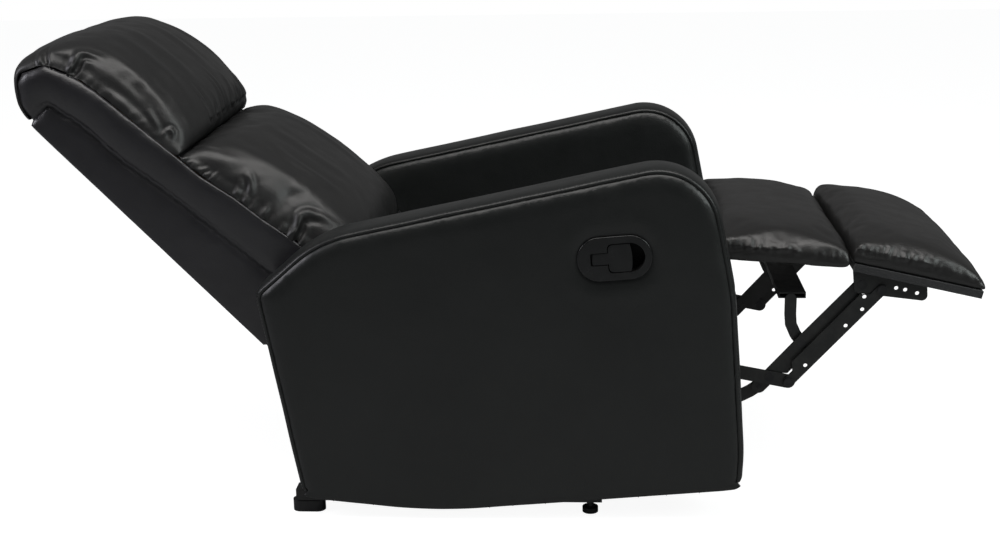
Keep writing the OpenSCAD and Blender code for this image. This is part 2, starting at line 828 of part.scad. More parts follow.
// Pillow lines from the top to the bottom, as shares of the back's length and of the crowns
pillow_stations = 16;
pillow_power = 3;
pillow_side_share = 0.1;
pillow_draw = 2;
headrest_outer_shares = [
    [1.005, -1.02, 0], [1.083, -0.97, 0], [1.148, -0.72, 0], [1.162, -0.5, 0], [1.142, -0.24, 0],
    [1.096, 0, 0.14], [1.03, 0, 0.46], [0.95, 0, 0.68], [0.84, 0, 0.82], [0.75, 0, 0.85],
    [0.69, 0, 0.76], [0.659, 0, 0.56], [0.654, 0, 0.3]
];
headrest_inner_shares = [
    [1.007, -0.945], [1.05, -0.888], [1.1005, -0.724], [1.113, -0.62], [1.112, -0.57],
    [1.083, -0.345], [1.045, -0.282], [1, -0.205], [0.939, -0.15], [0.86, -0.119],
    [0.78, -0.09], [0.72, -0.067], [0.668, -0.048]
];
function pillow_line(shares, crown) =
    [for (p = shares) [p.x * back_length, p.y * back_depth + p.z * crown]];
function lifted(table, gap) = [for (p = table) p + [0, gap]];
function clear_of_cover(table, gap) =
    [for (i = [0:len(table) - 1]) table[i] + gap * left_of(path_way(reversed(table), len(table) - 1 - i))];
module headrest_cushion() {
    inner = clear_of_cover(scaled(headrest_inner_shares, back_size), soft_gap);
    outer = pillow_line(headrest_outer_shares, headrest_crown);
    color(leather)
        at_front() in_back()
            cushion(back_xz(smooth(inner)), back_xz(smooth(outer)), cushion_half,
                pillow_stations, pillow_power, pillow_side_share, pillow_draw);
}
lumbar_outer_shares = [
    [0.645, 0, 0.12], [0.642, 0, 0.44], [0.604, 0, 0.74], [0.55, 0, 0.91], [0.47, 0, 1.08],
    [0.37, 0, 1.19], [0.27, 0, 1.28], [0.18, 0, 1.33], [0.11, 0, 1.27], [0.065, 0, 1.1],
    [0.045, 0, 0.84], [0.06, 0, 0.62]
];
lumbar_inner_shares = [
    [0.64, -0.038], [0.6, -0.024], [0.55, 0.006], [0.49, 0.059], [0.43, 0.098],
    [0.37, 0.131], [0.31, 0.177], [0.26, 0.21], [0.21, 0.237], [0.16, 0.263],
    [0.12, 0.284], [0.1, 0.293]
];
module lumbar_cushion() {
    inner = lifted(scaled(lumbar_inner_shares, back_size), soft_gap);
    outer = pillow_line(lumbar_outer_shares, lumbar_crown);
    color(leather)
        at_front() in_back()
            cushion(back_xz(smooth(inner)), back_xz(smooth(outer)), cushion_half,
                pillow_stations, pillow_power, pillow_side_share, pillow_draw);
}

// Links
// A pin through the layers from inner to outer, with heads of the two given thicknesses
module pivot_pin(at, inner, outer, head_in, head_out) {
    y = layer_y(inner);
    l = layer_y(outer) + plate_t - y;
    union() {
        bar_y(at, y, l, pin_d);
        if (head_in > 0)
            bar_y(at, y - head_in, head_in, pin_head_d);
        if (head_out > 0)
            bar_y(at, y + l, head_out, pin_head_d);
    }
}
module link_plate(outline, layer, turning, fixed) {
    y = layer_y(layer);
    difference() {
        plate(outline, y, plate_t);
        for (at = turning)
            bar_y(at, y - cut, plate_t + 2 * cut, pin_d + 2 * bore_gap);
        for (at = fixed)
            bar_y(at, y - cut, plate_t + 2 * cut, pin_d);
    }
}
stud_d = 8;
// Where the arm of the torque tube leaves the front link
tube_root_l = 76;
tube_root = front_pivot + tube_root_l * unit(front_link_bend);
module front_links() {
    y = layer_y("front");
    path = [spring_pin, front_pivot, front_pivot + front_link_bend, stay_low_pin];
    color(steel)
        at_front() for (side = ["right", "left"]) on(side)
            union() {
                difference() {
                    link_plate(strip(path, link_w), "front", [front_pivot], [front_pin, stay_low_pin]);
                    bar_y(spring_pin, y - cut, plate_t + 2 * cut, stud_d);
                }
                plate(stadium(tube_at, tube_root, link_w), y, plate_t);
            }
}
module torque_tube() {
    half = layer_y("front");
    wall = 2;
    color(steel)
        at_front()
            difference() {
                bar_y(tube_at, -half, 2 * half, torque_tube_d);
                bar_y(tube_at, -half - cut, 2 * (half + cut), torque_tube_d - 2 * wall);
            }
}
// The carrier is wider on its lower side between the front pin and the leg pin
carrier_flange = 7;
module carrier_links() {
    path = [lower_pin, front_pin, strap_pin, leg_pin];
    color(steel)
        at_front() for (side = ["right", "left"]) on(side)
            union() {
                link_plate(strip(path, link_w), "carrier", [lower_pin, front_pin, leg_pin], [strap_pin]);
                flange(front_pin, leg_pin, -link_w / 2, carrier_flange, "carrier");
            }
}
// Strip of a given width along the side of a link, short of its round ends; a negative side is the right
flange_lead = 18;
module flange(from, to, side, width, layer) {
    way = unit(to - from);
    out = left_of(to - from) * sign(side);
    start = from + flange_lead * way;
    end = to - flange_lead * way;
    edge = abs(side) - cut;
    plate([start + out * edge, end + out * edge, end - width * way + out * (edge + width + cut),
        start + width * way + out * (edge + width + cut)], layer_y(layer), plate_t);
}
// Holes along a stay link, as [along, across] from its lower pin
stay_holes = [[41, 0], [137, 0], [176, 0], [194, 13]];
stay_hole_d = 7;
module stay_links() {
    y = layer_y("stay");
    way = unit(carrier);
    color(steel)
        at_front() for (side = ["right", "left"]) on(side)
            difference() {
                union() {
                    link_plate(stadium(stay_low_pin, stay_top_pin, stay_w),
                        "stay", [stay_low_pin, stay_top_pin], []);
                    flange(stay_low_pin, stay_top_pin, stay_w / 2, stay_flange, "stay");
                }
                for (h = stay_holes)
                    bar_y(stay_low_pin + h.x * way + h.y * left_of(way),
                        y - cut, plate_t + 2 * cut, stay_hole_d);
            }
}
lower_link_w = 22;
lower_link_steps = 16;
module lower_links() {
    path = sagged(lower_pivot, lower_pin, lower_link_sag, lower_link_steps);
    color(steel)
        at_front() for (side = ["right", "left"]) on(side)
            link_plate(strip(path, lower_link_w), "lower", [lower_pivot, lower_pin], []);
}
// The strap bends back and up from its pin to the support bar under the upper pad
strap_w = 20;
strap_bends = [[0, 0], [-10, 14], [-18, 32], [-19.5, 50], [-19.5, 76]];
support_bar_size = [46, 10];
support_bar_offset = [-40, 77];
support_bar_at = strap_pin + support_bar_offset;
module support_straps() {
    color(steel)
        at_front() for (side = ["right", "left"]) on(side)
            link_plate(strip(moved(strap_bends, strap_pin), strap_w), "strap", [], [strap_pin]);
}
module support_bar() {
    half = layer_y("strap");
    wall = 2;
    color(steel)
        at_front()
            difference() {
                translate([support_bar_at.x, -half, support_bar_at.y])
                    cube([support_bar_size.x, 2 * half, support_bar_size.y]);
                translate([support_bar_at.x + wall, -half - cut, support_bar_at.y + wall])
                    cube([support_bar_size.x - 2 * wall, 2 * (half + cut), support_bar_size.y - 2 * wall]);
            }
}
module pin_pair(at, inner, outer, head_in, head_out) {
    color(steel)
        at_front()
            for (side = ["right", "left"]) on(side)
                pivot_pin(at, inner, outer, head_in, head_out);
}
// Head that a link in the next layer passes over
flat_head_t = 0.7;
module base_pins() {
    pin_pair(front_pivot, "carrier", "front", pin_head_t, pin_head_t);
    pin_pair(lower_pivot, "lower", "carrier", pin_head_t, 0);
}
module link_pins() {
    pin_pair(front_pin, "carrier", "front", 0, flat_head_t);
    pin_pair(stay_low_pin, "front", "stay", flat_head_t, pin_head_t);
    color(steel)
        at_front()
            for (side = ["right", "left"]) on(side)
                bar_y(spring_pin, layer_y("front"), spring_y + spring_d / 2 - layer_y("front"), stud_d);
}
module carrier_pins() {
    pin_pair(lower_pin, "lower", "carrier", pin_head_t, 0);
    color(steel)
        at_front()
            for (side = ["right", "left"]) on(side)
                union() {
                    pivot_pin(strap_pin, "strap", "carrier", pin_head_t, flat_head_t);
                    bar_y(strap_pin, layer_y("strap") + plate_t, plate_t + 2 * plate_gap, pin_head_d);
                }
}
module leg_pins() {
    pin_pair(leg_pin, "carrier", "front", pin_head_t, flat_head_t);
    pin_pair(stay_top_pin, "front", "stay", flat_head_t, pin_head_t);
}

// Leg rest: the pads lie on two lines that slope down to the front
upper_pad_at = [-30, 434];
lower_pad_at = [188, 428];
function on_slope(table, at, slope) = [for (p = table) at + turned(p, -slope)];
upper_pad_outer_shares = [
    [-0.01, 0.3], [-0.045, 0.5], [-0.06, 0.7], [-0.04, 0.87], [0.02, 0.97], [0.12, 1.01],
    [0.28, 1.03], [0.5, 1.03],
    [0.68, 1.01], [0.82, 0.97], [0.91, 0.89], [0.965, 0.76], [0.995, 0.58], [1, 0.38], [0.99, 0.16]
];
lower_pad_outer_shares = [
    [0, 0.42], [-0.004, 0.62], [0.01, 0.78], [0.045, 0.89], [0.11, 0.95], [0.22, 0.99], [0.38, 1], [0.55, 1],
    [0.7, 0.95], [0.82, 0.82], [0.91, 0.61], [0.965, 0.4], [0.995, 0.22], [1.005, 0.1], [0.995, 0.02]
];
pad_inner_shares = [
    [0.01, 0], [0.03, 0], [0.06, 0], [0.1, 0], [0.16, 0], [0.24, 0], [0.35, 0], [0.5, 0],
    [0.65, 0], [0.76, 0], [0.84, 0], [0.9, 0], [0.94, 0], [0.965, 0], [0.98, 0]
];
pad_stations = 16;
pad_power = 4;
pad_side_share = 0.45;
pad_draw = 4;
// Depth of a pad's underside below the line of its lower edge
pad_sink = 4.2;
module leg_pad(outer_shares, at, length, slope) {
    size = [length, pad_crown];
    inner = lifted(scaled(pad_inner_shares, size), -pad_sink);
    cushion(on_slope(inner, at, slope), on_slope(scaled(outer_shares, size), at, slope),
        cushion_half, pad_stations, pad_power, pad_side_share, pad_draw);
}
module leg_pad_upper() {
    color(leather)
        at_front()
            leg_pad(upper_pad_outer_shares, upper_pad_at, upper_pad_length, upper_pad_slope);
}
module leg_pad_lower() {
    color(leather)
        at_front()
            leg_pad(lower_pad_outer_shares, lower_pad_at, lower_pad_length, lower_pad_slope);
}
// A board lies soft_gap below its pad
board_top = -pad_sink - soft_gap;
module board(at, length, slope, t, ends, sides) {
    outline = on_slope([[ends, board_top], [length - ends, board_top],
        [length - ends, board_top - t], [ends, board_top - t]], at, slope);
    plate(outline, -cushion_half + sides, 2 * (cushion_half - sides));
}
leg_board_ends = 2;
board_sides = 5;
module leg_board() {
    color(cloth)
        at_front()
            board(lower_pad_at, lower_pad_length, lower_pad_slope, leg_board_t, leg_board_ends, board_sides);
}
flap_board_t = 6;
flap_board_ends = 15;
flap_board_sides = 48;
module leg_flap_board() {
    color(cloth)
        at_front()
            board(upper_pad_at, upper_pad_length, upper_pad_slope,
                flap_board_t, flap_board_ends, flap_board_sides);
}
// The bracket's upper edge runs along the board, and its lower corners are from the leg pin as [x, z, radius]
bracket_span = [3, 130];
bracket_corners = [[109, -29, 9], [-13, -14, 10]];
bracket_edge_r = 1;
bracket_hole_d = 7;
bracket_holes = [[56, -6], [71, -9], [91, -15]];
// Flat bars under both boards, [along the upper pad, along the lower pad], join the flap to the board
joiner_upper = [110, 195];
joiner_lower = [10, 80];
joiner_t = 4;
joiner_w = 30;
joiner_y = 110;
module leg_brackets() {
    y = layer_y("front");
    low = board_top - leg_board_t;
    under = [for (l = bracket_span) lower_pad_at + turned([l, low], -lower_pad_slope)];
    outline = inset(corners([
        [under[0].x, under[0].y, bracket_edge_r], [under[1].x, under[1].y, bracket_edge_r],
        for (c = bracket_corners) [leg_pin.x + c.x, leg_pin.y + c.y, c.z]
    ]), 0);
    flap_low = board_top - flap_board_t - joiner_t / 2;
    path = [
        for (l = joiner_upper) upper_pad_at + turned([l, flap_low], -upper_pad_slope),
        for (l = joiner_lower) lower_pad_at + turned([l, low - joiner_t / 2], -lower_pad_slope)
    ];
    color(steel)
        at_front() for (side = ["right", "left"]) on(side) {
            difference() {
                plate(outline, y, plate_t);
                for (at = [leg_pin, stay_top_pin])
                    bar_y(at, y - cut, plate_t + 2 * cut, pin_d);
                for (p = bracket_holes)
                    bar_y(leg_pin + p, y - cut, plate_t + 2 * cut, bracket_hole_d);
            }
            plate(strip(path, joiner_t), joiner_y, joiner_w);
        }
}

// Lift springs, from a stud on the side plate to a stud on the front link's rear end
spring_d = 14;
spring_out = 8;
spring_y = layer_y("stay") + spring_out;
module spring_studs() {
    color(steel)
        at_front()
            for (side = ["right", "left"]) on(side)
                bar_y(spring_anchor, layer_y("carrier"),
                    spring_y + spring_d / 2 - layer_y("carrier"), stud_d);
}
module lift_springs() {
    way = unit(spring_pin - spring_anchor);
    gap = stud_d / 2 + soft_gap;
    a = spring_anchor + way * gap;
    b = spring_pin - way * gap;
    color(steel)
        at_front()
            for (side = ["right", "left"]) on(side)
                translate([a.x, spring_y, a.y])
                    rotate([0, 90 - heading(b - a), 0])
                        cylinder(h = norm(b - a), d = spring_d);
}

// Release handle, in the right arm's outer face
handle_back = 212;
handle_drop = 167;
handle_at = [-handle_back, arm_height - handle_drop];
handle_tilt = 4.5;
cup_wall = 2;
function handle_place(p) = handle_at + turned(p, handle_tilt);
function handle_oval(length, h) =
    stadium(handle_place([-(length - h) / 2, 0]), handle_place([(length - h) / 2, 0]), h);
function cup_outline(depth) =
    handle_oval(bezel_length - bezel_rim - 2 * depth, bezel_h - bezel_rim - 2 * depth);
handle_pin_d = 4;
barrel_d = 8;
pin_hole_l = 54;
hinge_inset = 14;
hinge_place = [-(bezel_length - 2 * bezel_rim) / 2 + hinge_inset, 0];
hinge_depth = 4;
hinge_y = half_w - hinge_depth;
paddle_stem_end = hinge_place.x + paddle_stem_l;
paddle_head_end = paddle_stem_end + paddle_head_l;
// The face plate's opening fits round the stem and the head, and its round end leaves room for the fingers
opening_play = 1.3;
opening_corner_r = 8;
finger_room = 18;
face_plate_t = 3;
function in_handle(points) = [for (p = points) handle_place(p)];
function stem_outline(play) =
    let (x = hinge_place.x - barrel_d / 2 - play, z = paddle_stem_w / 2 + play)
    [[x, z], [x, -z], [paddle_stem_end + cut, -z], [paddle_stem_end + cut, z]];
function opening_outline() =
    let (x = paddle_stem_end - opening_play, far = paddle_head_end + finger_room)
    let (z = paddle_head_w / 2 + 2 * opening_play, round_r = z - cut)
    inset(corners([
        [x, z, opening_corner_r], [x, -z, opening_corner_r], [far, -z, round_r], [far, z, round_r]
    ]), 0);
module handle_housing() {
    face = half_w;
    fit = soft_gap / 2;
    color(plastic)
        at_front() on("right")
            difference() {
                union() {
                    plate(handle_oval(bezel_length, bezel_h), face, bezel_proud);
                    plate(cup_outline(fit), face - cup_depth, cup_depth);
                }
                plate(cup_outline(cup_wall),
                    face - cup_depth + cup_wall, cup_depth - cup_wall - face_plate_t);
                for (outline = [stem_outline(opening_play), opening_outline()])
                    plate(in_handle(outline), face - cup_depth / 2, cup_depth);
                hinge_line(pin_hole_l, handle_pin_d);
            }
}
// Bar along the hinge, in the face and across the handle's length
module hinge_line(l, d) {
    p = handle_place(hinge_place);
    translate([p.x, hinge_y, p.y])
        rotate([0, -handle_tilt, 0])
            cylinder(h = l, d = d, center = true);
}
module handle_pin() {
    color(steel)
        at_front() on("right")
            hinge_line(pin_hole_l, handle_pin_d);
}
paddle_corner_r = 7;
paddle_end_r = 4;
paddle_bulge = 3;
module handle_paddle() {
    h = paddle_head_w / 2;
    far = paddle_head_end - paddle_bulge;
    head = inset(corners([
        [paddle_stem_end, h, paddle_corner_r], [paddle_stem_end, -h, paddle_corner_r],
        [far, -h, paddle_end_r], [paddle_head_end, -h / 2, paddle_end_r],
        [paddle_head_end, h / 2, paddle_end_r], [far, h, paddle_end_r]
    ]), 0);
    stem = [[hinge_place.x, paddle_stem_w / 2], [hinge_place.x, -paddle_stem_w / 2],
        [paddle_stem_end + cut, -paddle_stem_w / 2], [paddle_stem_end + cut, paddle_stem_w / 2]];
    y = hinge_y - paddle_t / 2;
    color(plastic)
        at_front() on("right")
            difference() {
                union() {
                    plate(in_handle(head), y, paddle_t);
                    plate(in_handle(stem), y, paddle_t);
                    hinge_line(paddle_stem_w, barrel_d);
                }
                hinge_line(paddle_stem_w + 2 * cut, handle_pin_d + 2 * bore_gap);
            }
}

// The cable runs from the cup inside the arm, through the inner panel and the side plate.
// Its bends are offsets from the cup, then from the gate, as [x, y, z]
cable_d = 5;
cable_sides = 8;
cable_gate = [-246, 300];
cup_bends = [[0, -0.4, 0], [0, -8, -4], [0, -19, -30], [0, -21, -70]];
gate_bends = [[0, 41, 50], [0, 30, 9], [0, 20, 1], [0, 0, 0]];
module release_cable() {
    start = handle_place(hinge_place);
    cup = [start.x, half_w - cup_depth, start.y];
    gate = [cable_gate.x, inner_half, cable_gate.y];
    route = [
        for (b = cup_bends) cup + b,
        for (b = gate_bends) gate + b,
        [gate.x, layer_y("carrier"), gate.z],
        [gate.x, lever_y + plate_t + soft_gap, gate.z]
    ];
    color(plastic)
        at_front() on("right")
            tube_along(route, cable_d / 2, cable_sides);
}
lever_pivot = [-246, 318];
lever_inset = 14;
lever_y = layer_y("strap") - lever_inset;
lever_length = 62;
lever_w = 14;
lever_heading = -96;
lever_pin_d = 6;
lever_bracket_w = 20;
lever_bracket_t = 5;
lever_bracket_drop = 9;
lever_play = 1;
module lever_bracket() {
    low = lever_pivot.y - lever_bracket_drop;
    y = lever_y - lever_play - lever_bracket_t;
    color(steel)
        at_front() on("right")
            union() {
                translate([lever_pivot.x - lever_bracket_w / 2, y, low])
                    cube([lever_bracket_w, lever_bracket_t, seat_frame_z - low]);
                bar_y(lever_pivot, y, lever_bracket_t + lever_play + plate_t, lever_pin_d);
            }
}
module release_lever() {
    color(steel)
        at_front() on("right")
            difference() {
                plate(stadium(lever_pivot, lever_pivot + polar(lever_length, lever_heading), lever_w),
                    lever_y, plate_t);
                bar_y(lever_pivot, lever_y - cut, plate_t + 2 * cut, lever_pin_d + 2 * bore_gap);
            }
}

base_rail("right");  // base_rail_right
base_rail("left");  // base_rail_left
rail_end_caps();
base_cross_tubes();
front_feet();
rear_feet();
base_posts();
post_bolts();
arm_outer_cover("right");  // arm_outer_cover_right
arm_outer_cover("left");  // arm_outer_cover_left
arm_inner_cover("right");  // arm_inner_cover_right
arm_inner_cover("left");  // arm_inner_cover_left
arm_band("right");  // arm_band_right
arm_band("left");  // arm_band_left
arm_frame("right");  // arm_frame_right
arm_frame("left");  // arm_frame_left
arm_glides();
arm_bolts();
side_plate("right");  // side_plate_right
side_plate("left");  // side_plate_left
seat_frame();
seat_bolts();
seat_springs();
seat_cushion();
back_brackets();
back_hinge_pins();
back_bolts();
back_uprights();
back_rails();
back_webbing();
back_side_cover("right");  // back_side_cover_right
back_side_cover("left");  // back_side_cover_left
back_rear_cover();
back_dust_roll();
lumbar_cushion();
headrest_cushion();
front_links();
torque_tube();
carrier_links();
support_straps();
support_bar();
stay_links();
lower_links();
base_pins();
link_pins();
carrier_pins();
leg_pins();
leg_brackets();
leg_board();
leg_flap_board();
leg_pad_upper();
leg_pad_lower();
spring_studs();
lift_springs();
handle_housing();
handle_pin();
handle_paddle();
release_cable();
lever_bracket();
release_lever();
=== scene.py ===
"""Reclining armchair in black imitation leather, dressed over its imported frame.

The frame's axes are +X to the footrest, +Y to the sitter's left and +Z up, in metres. Places on the
arms and the linkage are written in millimetres from the arms' front edge, and places on the back, the
seat and the leg rest as [along, across, out] of the piece that they lie on.
"""
import json
import logging
import math
import random
from dataclasses import dataclass, field
from enum import Enum

import bpy
import numpy as np
from mathutils import Matrix, Vector, noise
from mathutils.bvhtree import BVHTree
from mathutils.geometry import delaunay_2d_cdt


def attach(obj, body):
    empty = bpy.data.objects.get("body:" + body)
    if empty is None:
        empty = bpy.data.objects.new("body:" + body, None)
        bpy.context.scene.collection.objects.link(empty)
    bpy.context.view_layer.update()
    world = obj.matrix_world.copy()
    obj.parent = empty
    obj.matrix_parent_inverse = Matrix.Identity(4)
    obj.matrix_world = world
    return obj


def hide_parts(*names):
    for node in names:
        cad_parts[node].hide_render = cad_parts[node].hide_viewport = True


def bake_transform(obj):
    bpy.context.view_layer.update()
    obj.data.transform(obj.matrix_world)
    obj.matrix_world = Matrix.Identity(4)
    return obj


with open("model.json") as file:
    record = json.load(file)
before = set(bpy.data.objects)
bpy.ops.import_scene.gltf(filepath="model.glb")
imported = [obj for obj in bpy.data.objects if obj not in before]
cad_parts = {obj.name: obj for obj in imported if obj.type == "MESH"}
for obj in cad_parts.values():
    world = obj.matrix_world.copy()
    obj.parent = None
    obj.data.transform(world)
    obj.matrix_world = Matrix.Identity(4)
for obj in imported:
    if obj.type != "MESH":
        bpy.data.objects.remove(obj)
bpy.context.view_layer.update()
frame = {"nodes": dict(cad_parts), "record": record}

log = logging.getLogger("armchair")
MM = 0.001  # one millimetre in the frame's metres
FRONT_X = 0.4  # place of the arms' front edge in metres
RECLINE = 43.9  # lean of the back from upright in degrees

Socket = bpy.types.NodeSocket
Value = bpy.types.NodeSocket | float
Places = np.ndarray | list | tuple


class Side(Enum):
    """Sitter's side of a piece, with the sign of its Y."""

    RIGHT = -1
    LEFT = 1

    @property
    def word(self) -> str:
        """The side's name as it stands in the frame's node names."""
        return self.name.lower()


class Fade(Enum):
    """How a fold dies away along its line."""

    ENDS = "ends"
    FAR_END = "far end"


class Nodes:
    """Adds and links the nodes of one material."""

    def __init__(self, name: str) -> None:
        """Starts an empty material.

        Args:
            name: The material's name.
        """
        self.material = bpy.data.materials.new(name)
        self.material.use_nodes = True
        self.tree = self.material.node_tree
        self.tree.nodes.clear()
        self.places = self.add("ShaderNodeTexCoord").outputs["Object"]

    def add(self, kind: str, inputs: dict | None = None, **settings) -> bpy.types.Node:
        """Adds a node.

        Args:
            kind: The node's type.
            inputs: Values, or sockets to link from, by the name or number of the input.
            **settings: The node's own properties.

        Returns:
            The new node.
        """
        node = self.tree.nodes.new(kind)
        for key, value in settings.items():
            setattr(node, key, value)
        for key, value in (inputs or {}).items():
            if isinstance(value, bpy.types.NodeSocket):
                self.tree.links.new(value, node.inputs[key])
            else:
                node.inputs[key].default_value = value
        return node

    def turned(self, angle: float = 0.0, scale: tuple = (1, 1, 1)) -> Socket:
        """Returns the places turned about Y and stretched.

        Args:
            angle: The turn in radians.
            scale: The stretch along each axis.
        """
        turn = self.add("ShaderNodeMapping", {"Vector": self.places, "Rotation": (0, angle, 0)})
        return self.add("ShaderNodeMapping", {"Vector": turn.outputs[0], "Scale": scale}).outputs[0]

    def noise(
            self, scale: float, detail: float = 2, rough: float = 0.5, at: Socket | None = None) -> Socket:
        """Returns a cloudy value from 0 to 1.

        Args:
            scale: Clouds per metre.
            detail: Number of finer layers.
            rough: Weight of the finer layers.
            at: Places to read, or the object's own.
        """
        inputs = {"Vector": at or self.places, "Scale": scale, "Detail": detail, "Roughness": rough}
        return self.add("ShaderNodeTexNoise", inputs).outputs["Fac"]

    def cells(self, scale: float, at: Socket | None = None, feature: str = "SMOOTH_F1") -> Socket:
        """Returns the distance inside irregular cells.

        Args:
            scale: Cells per metre.
            at: Places to read, or the object's own.
            feature: The kind of distance.
        """
        node = self.add("ShaderNodeTexVoronoi", feature=feature)
        self.tree.links.new(at or self.places, node.inputs["Vector"])
        node.inputs["Scale"].default_value = scale
        return node.outputs["Distance"]

    def span(self, value: Value, low: float, high: float, start: float = 0.0, end: float = 1.0) -> Socket:
        """Returns a value that follows another one over a range of its own.

        Args:
            value: The value that it follows.
            low: Where it starts.
            high: Where it ends.
            start: The followed value at its start.
            end: The followed value at its end.
        """
        inputs = {"Value": value, "From Min": start, "From Max": end, "To Min": low, "To Max": high}
        return self.add("ShaderNodeMapRange", inputs).outputs[0]

    def blended(self, share: Socket, first: tuple, second: tuple) -> Socket:
        """Returns a colour between two colours.

        Args:
            share: Its share of the second one, from 0 to 1.
            first: The first colour.
            second: The second colour.
        """
        node = self.add("ShaderNodeMix", data_type="RGBA")
        self.tree.links.new(share, node.inputs[0])
        node.inputs[6].default_value = (*first, 1)
        node.inputs[7].default_value = (*second, 1)
        return node.outputs[2]

    def bump(
            self, height: Socket, depth: float, under: Socket | None = None, strength: float = 1.0) -> Socket:
        """Returns a normal that shows a height as relief.

        Args:
            height: The relief's value.
            depth: Its depth in metres.
            under: A normal that it lies on.
            strength: How much of it shows.
        """
        inputs = {"Height": height, "Distance": depth, "Strength": strength}
        if under is not None:
            inputs["Normal"] = under
        return self.add("ShaderNodeBump", inputs).outputs[0]

    def finish(self, **inputs) -> bpy.types.Material:
        """Adds the surface shader and the output.

        Args:
            **inputs: The shader's inputs by name, with underscores for spaces.

        Returns:
            The finished material.
        """
        shader = self.add("ShaderNodeBsdfPrincipled", {k.replace("_", " "): v for k, v in inputs.items()})
        output = self.add("ShaderNodeOutputMaterial")
        self.tree.links.new(shader.outputs[0], output.inputs["Surface"])
        return self.material


@dataclass(frozen=True)
class Leather:
    """Imitation leather: pebbled grain over foam, with soft undulations and stretch lines.

    Attributes:
        name: The material's name.
        colour: Darkest colour.
        worn: Colour where the cover is polished by use.
        gloss: Lowest and highest roughness.
        grain: Depth of the pebbles in metres.
        ripple: Depth of the undulations in metres.
        streaks: Depth of the stretch lines in metres.
        lie: Turn about Y that lays the stretch lines along the piece.
        mirror: Level of its reflections.
    """

    name: str
    colour: tuple[float, float, float]
    worn: tuple[float, float, float]
    gloss: tuple[float, float] = (0.36, 0.46)
    grain: float = 0.00022
    ripple: float = 0.0012
    streaks: float = 0.0
    lie: float = 0.0
    mirror: float = 0.4

    def material(self) -> bpy.types.Material:
        """Builds the material."""
        nodes = Nodes(self.name)
        cloud = nodes.noise(5, 4, 0.6)
        tone = nodes.blended(nodes.span(cloud, 0, 1, 0.35, 0.7), self.colour, self.worn)
        warp = nodes.add("ShaderNodeVectorMath", {0: nodes.places}, operation="ADD")
        drift = nodes.add("ShaderNodeTexNoise", {"Vector": nodes.places, "Scale": 220.0})
        small = nodes.add("ShaderNodeVectorMath", {0: drift.outputs["Color"], 3: 0.0016}, operation="SCALE")
        nodes.tree.links.new(small.outputs[0], warp.inputs[1])
        pebbles = nodes.cells(620, warp.outputs[0])
        pores = nodes.noise(2600, 2)
        relief = nodes.bump(nodes.noise(16, 3, 0.55), self.ripple)
        if self.streaks:
            lines = nodes.noise(1, 3, 0.6, nodes.turned(self.lie, (7, 70, 30)))
            relief = nodes.bump(lines, self.streaks, relief)
        relief = nodes.bump(pebbles, self.grain, relief, 0.7)
        relief = nodes.bump(pores, self.grain / 4, relief, 0.5)
        patches = nodes.noise(30, 3, 0.6)
        return nodes.finish(
            Base_Color=tone, Roughness=nodes.span(patches, *self.gloss, 0.3, 0.7), Normal=relief,
            Specular_IOR_Level=self.mirror, Sheen_Weight=0.01, Sheen_Roughness=0.4,
        )


@dataclass(frozen=True)
class Paint:
    """Baked paint or oxide on steel, with a fine orange peel.

    Attributes:
        name: The material's name.
        colour: Main colour.
        dusty: Colour of the dusty patches.
        metallic: Share of bare metal that shows.
        gloss: Lowest and highest roughness.
        peel: Depth of the orange peel in metres.
    """

    name: str
    colour: tuple[float, float, float]
    dusty: tuple[float, float, float]
    metallic: float = 0.0
    gloss: tuple[float, float] = (0.3, 0.5)
    peel: float = 0.00012

    def material(self) -> bpy.types.Material:
        """Builds the material."""
        nodes = Nodes(self.name)
        dust = nodes.span(nodes.noise(38, 5, 0.65), 0, 1, 0.45, 0.75)
        scratches = nodes.noise(1, 2, 0.5, nodes.turned(0.7, (40, 900, 900)))
        rough = nodes.add(
            "ShaderNodeMath", {0: nodes.span(dust, *self.gloss), 1: nodes.span(scratches, 0, 0.08)})
        relief = nodes.bump(nodes.noise(520, 2), self.peel)
        relief = nodes.bump(scratches, 0.00003, relief)
        return nodes.finish(
            Base_Color=nodes.blended(dust, self.colour, self.dusty), Roughness=rough.outputs[0],
            Normal=relief, Metallic=self.metallic, Specular_IOR_Level=0.5,
        )


@dataclass(frozen=True)
class Moulding:
    """Moulded plastic with a spark-eroded texture and a faint haze.

    Attributes:
        name: The material's name.
        colour: Main colour.
        haze: Colour of the hazy patches.
        gloss: Lowest and highest roughness.
        texture: Depth of the texture in metres.
    """

    name: str
    colour: tuple[float, float, float]
    haze: tuple[float, float, float]
    gloss: tuple[float, float]
    texture: float

    def material(self) -> bpy.types.Material:
        """Builds the material."""
        nodes = Nodes(self.name)
        haze = nodes.span(nodes.noise(45, 4, 0.6), 0, 1, 0.4, 0.75)
        relief = nodes.bump(nodes.noise(1500, 2), self.texture)
        return nodes.finish(
            Base_Color=nodes.blended(haze, self.colour, self.haze), Roughness=nodes.span(haze, *self.gloss),
            Normal=relief, Specular_IOR_Level=0.5,
        )


